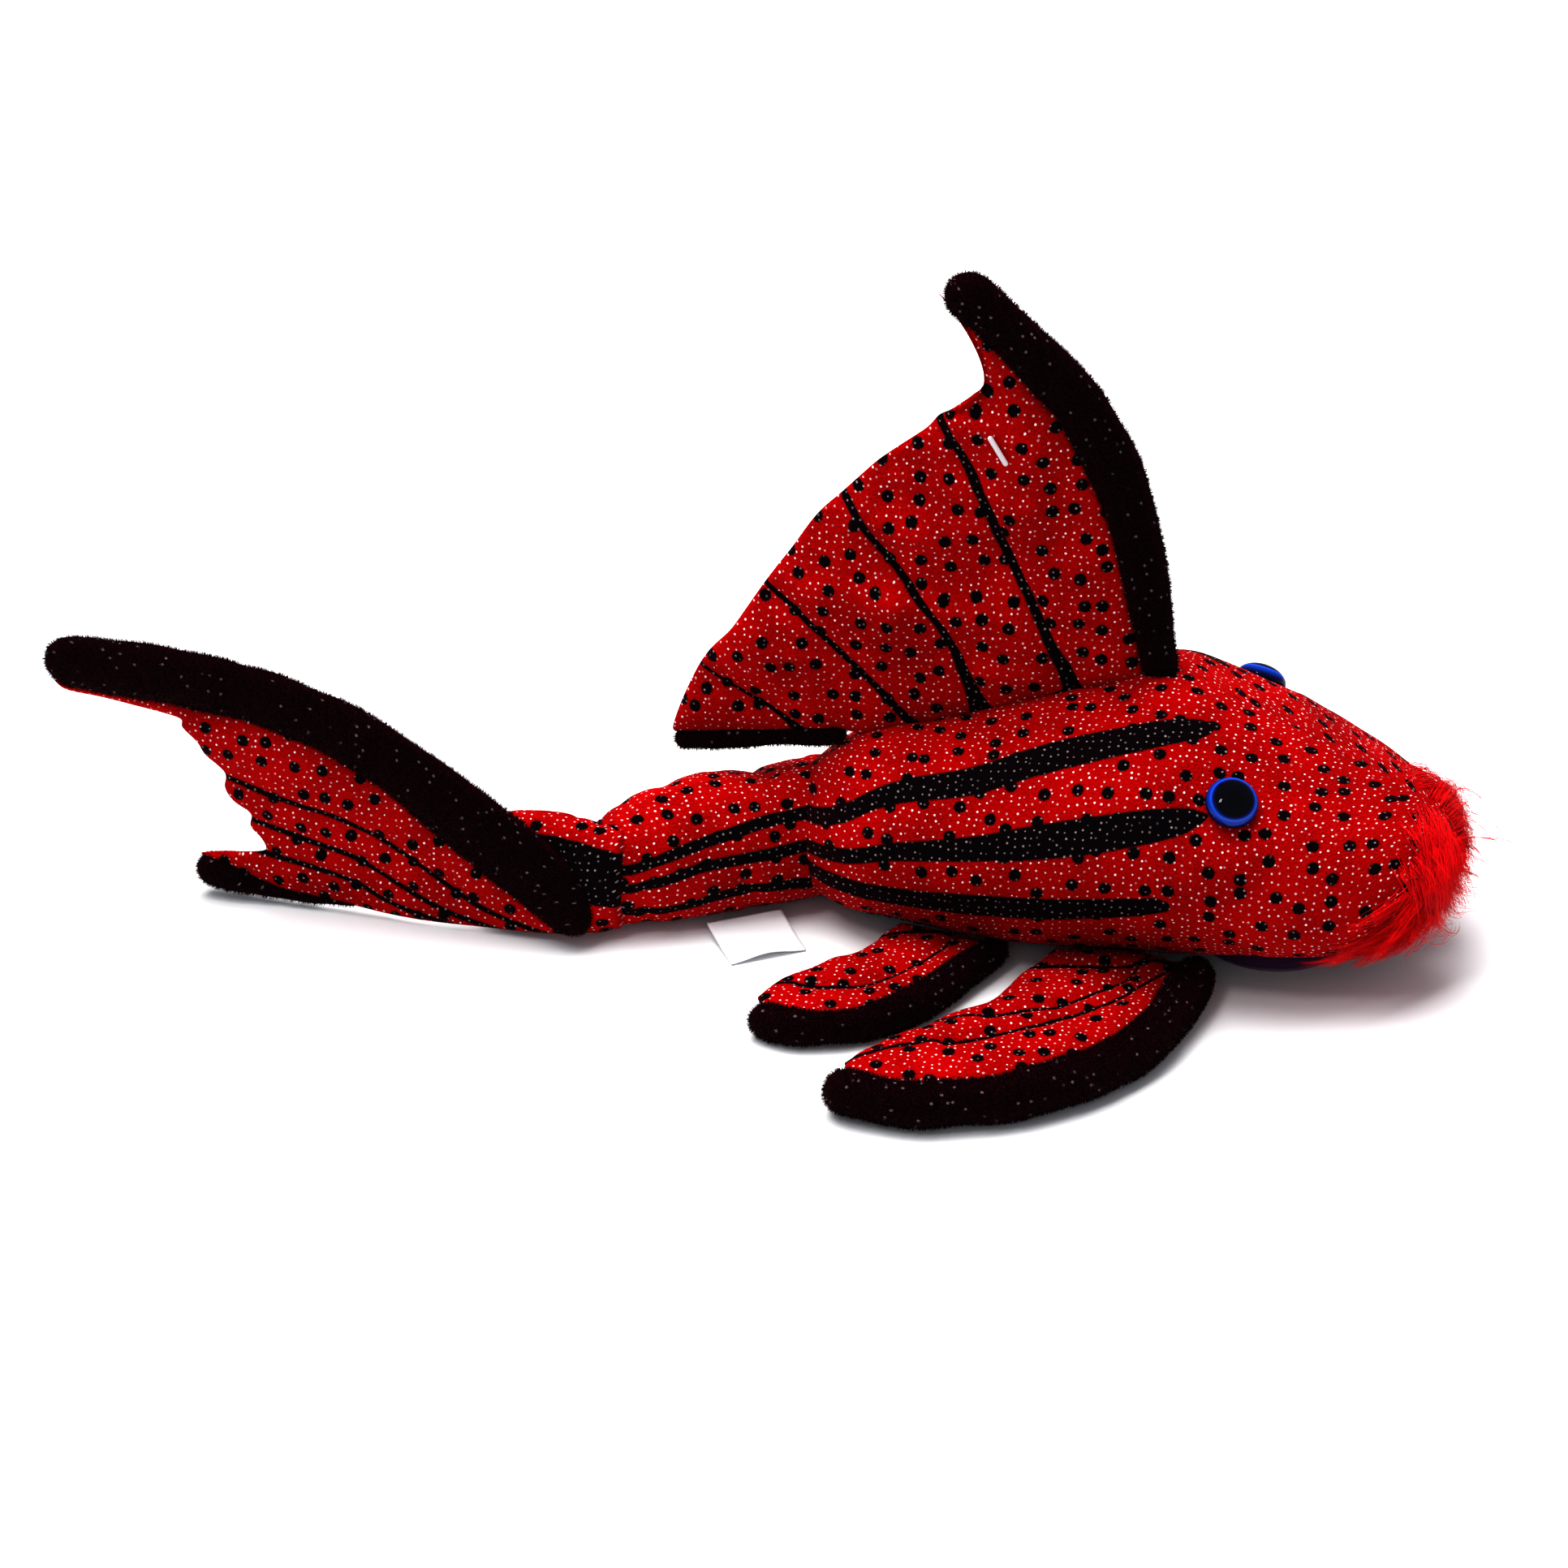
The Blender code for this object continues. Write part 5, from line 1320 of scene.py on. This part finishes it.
# Rays: places along and up
TAIL_RAYS = (
    ((0.0985, 0.0382), (0.0810, 0.0335), (0.0670, 0.0305), (0.0510, 0.0240),
     (0.0370, 0.0145), (0.0230, 0.0070), (0.0080, 0.0030)),
    ((0.0940, 0.0262), (0.0770, 0.0222), (0.0630, 0.0190), (0.0490, 0.0115),
     (0.0370, 0.0060), (0.0180, 0.0010)),
    ((0.0915, 0.0162), (0.0750, 0.0142), (0.0660, 0.0122), (0.0510, 0.0055),
     (0.0370, 0.0020)),
)
TAIL_RAY_HALF = 0.0009
TAIL_WEB_SHARES = (0.10, 0.985)
TAIL_COLUMNS = 100

tail_back, tail_left = ways_of(TAIL_TURN)
add_tube(
    "tail_root_cover", "root", ROOT_ROWS, ROOT_BANDS, ROOT_COUNTS, TAIL_PIVOT, TAIL_TURN, ROOT_CREASES,
)


def tail_place(a, b, height):
    spot = CUP_MIDDLE + TAIL_PIVOT + tail_back * a + tail_left * (height - TAIL_SIDE)
    return (spot.x, spot.y, b)


def with_width(rays, half):
    return [[(*spot, half) for spot in ray] for ray in rays]


web_from, web_to = TAIL_WEB_SHARES
tail_top = beside_roll(TAIL_UPPER, web_from + (web_to - web_from) * shares, -1)
foot_end = beside_roll(TAIL_LOWER, np.linspace(0.25, 1, 7), 1)
tail_foot = eased(TAIL_FOOT + tuple(map(tuple, foot_end)), shares)
tail_base = np.linspace(tail_top[0], tail_foot[0], TAIL_COLUMNS)
tail_rear = [tuple(tail_top[-1])] + list(TAIL_REAR) + [tuple(tail_foot[-1])]
tail_rear = eased(tail_rear, np.linspace(0, 1, TAIL_COLUMNS))
add_fin_cloth(
    "tail_cloth", tail_place, cloth_grid(tail_top, tail_foot, tail_base, tail_rear), TAIL_RAYS,
    (0.0019, 0.0014, (0.050, 0.014)), 4.0,
    printed_pile("tail_pile", bands=with_width(TAIL_RAYS, TAIL_RAY_HALF)),
    ("tail_web_left", "tail_web_right", "tail_batting"),
)
add_roll("tail_top_roll", tail_place, TAIL_UPPER, 0.0045, 31, ("tail_edge_upper",))
add_roll("tail_foot_roll", tail_place, TAIL_LOWER, 0.0040, 32, ("tail_edge_lower",))


# ---- Pectoral and pelvic fins
# Two pairs of flat padded fins lie out on the table. Each is printed pile over thin wadding
# with fine stitched rays and a black plush roll along its front and outer edge.
PECTORAL_EDGE = (
    (-0.0165, 0.0330, 0.0040),
    (-0.0170, 0.0400, 0.0052),
    (-0.0190, 0.0530, 0.0060),
    (-0.0245, 0.0725, 0.0063),
    (-0.0345, 0.0890, 0.0064),
    (-0.0490, 0.1035, 0.0064),
    (-0.0655, 0.1125, 0.0064),
    (-0.0840, 0.1170, 0.0063),
    (-0.1035, 0.1135, 0.0059),
)
PECTORAL_TRAIL = (
    (-0.0600, 0.0420),
    (-0.0625, 0.0475),
    (-0.0655, 0.0560),
    (-0.0690, 0.0640),
    (-0.0785, 0.0725),
    (-0.0830, 0.0800),
    (-0.0895, 0.0862),
    (-0.0960, 0.0940),
    (-0.1005, 0.1010),
)
# Rays: places along and out
PECTORAL_RAYS = (
    ((-0.0330, 0.0430), (-0.0365, 0.0505), (-0.0437, 0.0584), (-0.0508, 0.0657),
     (-0.0577, 0.0689), (-0.0675, 0.0731)),
    ((-0.0244, 0.0396), (-0.0299, 0.0491), (-0.0348, 0.0574), (-0.0426, 0.0657),
     (-0.0518, 0.0736), (-0.0598, 0.0794), (-0.0690, 0.0860), (-0.0758, 0.0896)),
    ((-0.0349, 0.0394), (-0.0415, 0.0413), (-0.0489, 0.0424), (-0.0577, 0.0447)),
)
PELVIC_EDGE = (
    (-0.0715, 0.0300, 0.0034),
    (-0.0733, 0.0360, 0.0040),
    (-0.0790, 0.0480, 0.0045),
    (-0.0880, 0.0655, 0.0048),
    (-0.1010, 0.0790, 0.0048),
    (-0.1160, 0.0840, 0.0048),
    (-0.1300, 0.0812, 0.0046),
)
PELVIC_TRAIL = (
    (-0.1035, 0.0315),
    (-0.1050, 0.0365),
    (-0.1095, 0.0435),
    (-0.1150, 0.0480),
    (-0.1190, 0.0545),
    (-0.1260, 0.0620),
    (-0.1300, 0.0715),
)
PELVIC_RAYS = (
    ((-0.0823, 0.0301), (-0.0862, 0.0387), (-0.0915, 0.0482), (-0.0975, 0.0570),
     (-0.1041, 0.0624), (-0.1113, 0.0644), (-0.1190, 0.0650)),
    ((-0.0843, 0.0274), (-0.0933, 0.0297), (-0.1028, 0.0329)),
)
# Name, height, seam's front and rear ends, border, trailing edge, rays, their half width,
# border's half thickness, puff, soft folds' depth
PAIRED_FINS = (
    ("pectoral", 0.0066, (-0.0150, 0.0285), (-0.0560, 0.0348), PECTORAL_EDGE, PECTORAL_TRAIL,
     PECTORAL_RAYS, 0.001, 0.0058, 0.0026, 0.0009),
    ("pelvic", 0.0050, (-0.0700, 0.0311), (-0.1000, 0.0266), PELVIC_EDGE, PELVIC_TRAIL,
     PELVIC_RAYS, 0.0009, 0.0045, 0.0020, 0.0006),
)
FIN_SEAM_TUCK = 0.0015
PAIRED_COLUMNS = 50

for kind, level, front, rear, edge, trail, rays, ray_half, thickness, puff, folds in PAIRED_FINS:
    fin_lead = beside_roll(edge, 0.05 + 0.91 * shares, 1)
    fin_seam = np.array([front, rear]) - np.array([0.0, FIN_SEAM_TUCK])
    fin_base = [tuple(fin_lead[0]), tuple(fin_seam.mean(axis=0)), tuple(fin_seam[1])]
    fin_base = eased(fin_base, np.linspace(0, 1, PAIRED_COLUMNS))
    fin_trail = eased([tuple(fin_base[-1])] + list(trail), shares)
    fin_tip = np.linspace(fin_lead[-1], fin_trail[-1], PAIRED_COLUMNS)
    fin_grid = cloth_grid(fin_lead, fin_trail, fin_base, fin_tip)
    fin_pile = printed_pile(f"{kind}_pile", bands=with_width(rays, ray_half))
    for hand, side in (("left", 1), ("right", -1)):
        name = f"{kind}_{hand}"

        def fin_place(a, b, height, side=side, level=level):
            return (CUP_MIDDLE.x + a, CUP_MIDDLE.y + side * b, level + height)

        middle = Vector(fin_place((front[0] + rear[0]) / 2, (front[1] + rear[1]) / 2, 0))
        ahead = Vector((front[0] - rear[0], side * (front[1] - rear[1]), 0.0)).normalized()
        outward = Vector((-ahead.y, ahead.x, 0.0)) * side
        stands_for = (f"{name}_web_upper", f"{name}_web_lower", f"{name}_batting", f"{name}_seam")
        add_fin_cloth(
            f"{name}_cloth", fin_place, fin_grid, rays, (puff, folds, (0.030, 0.016)), 6.0 + side,
            fin_pile, stands_for,
        )
        add_roll(f"{name}_roll", fin_place, edge, thickness, 41 + side, (f"{name}_edge",))
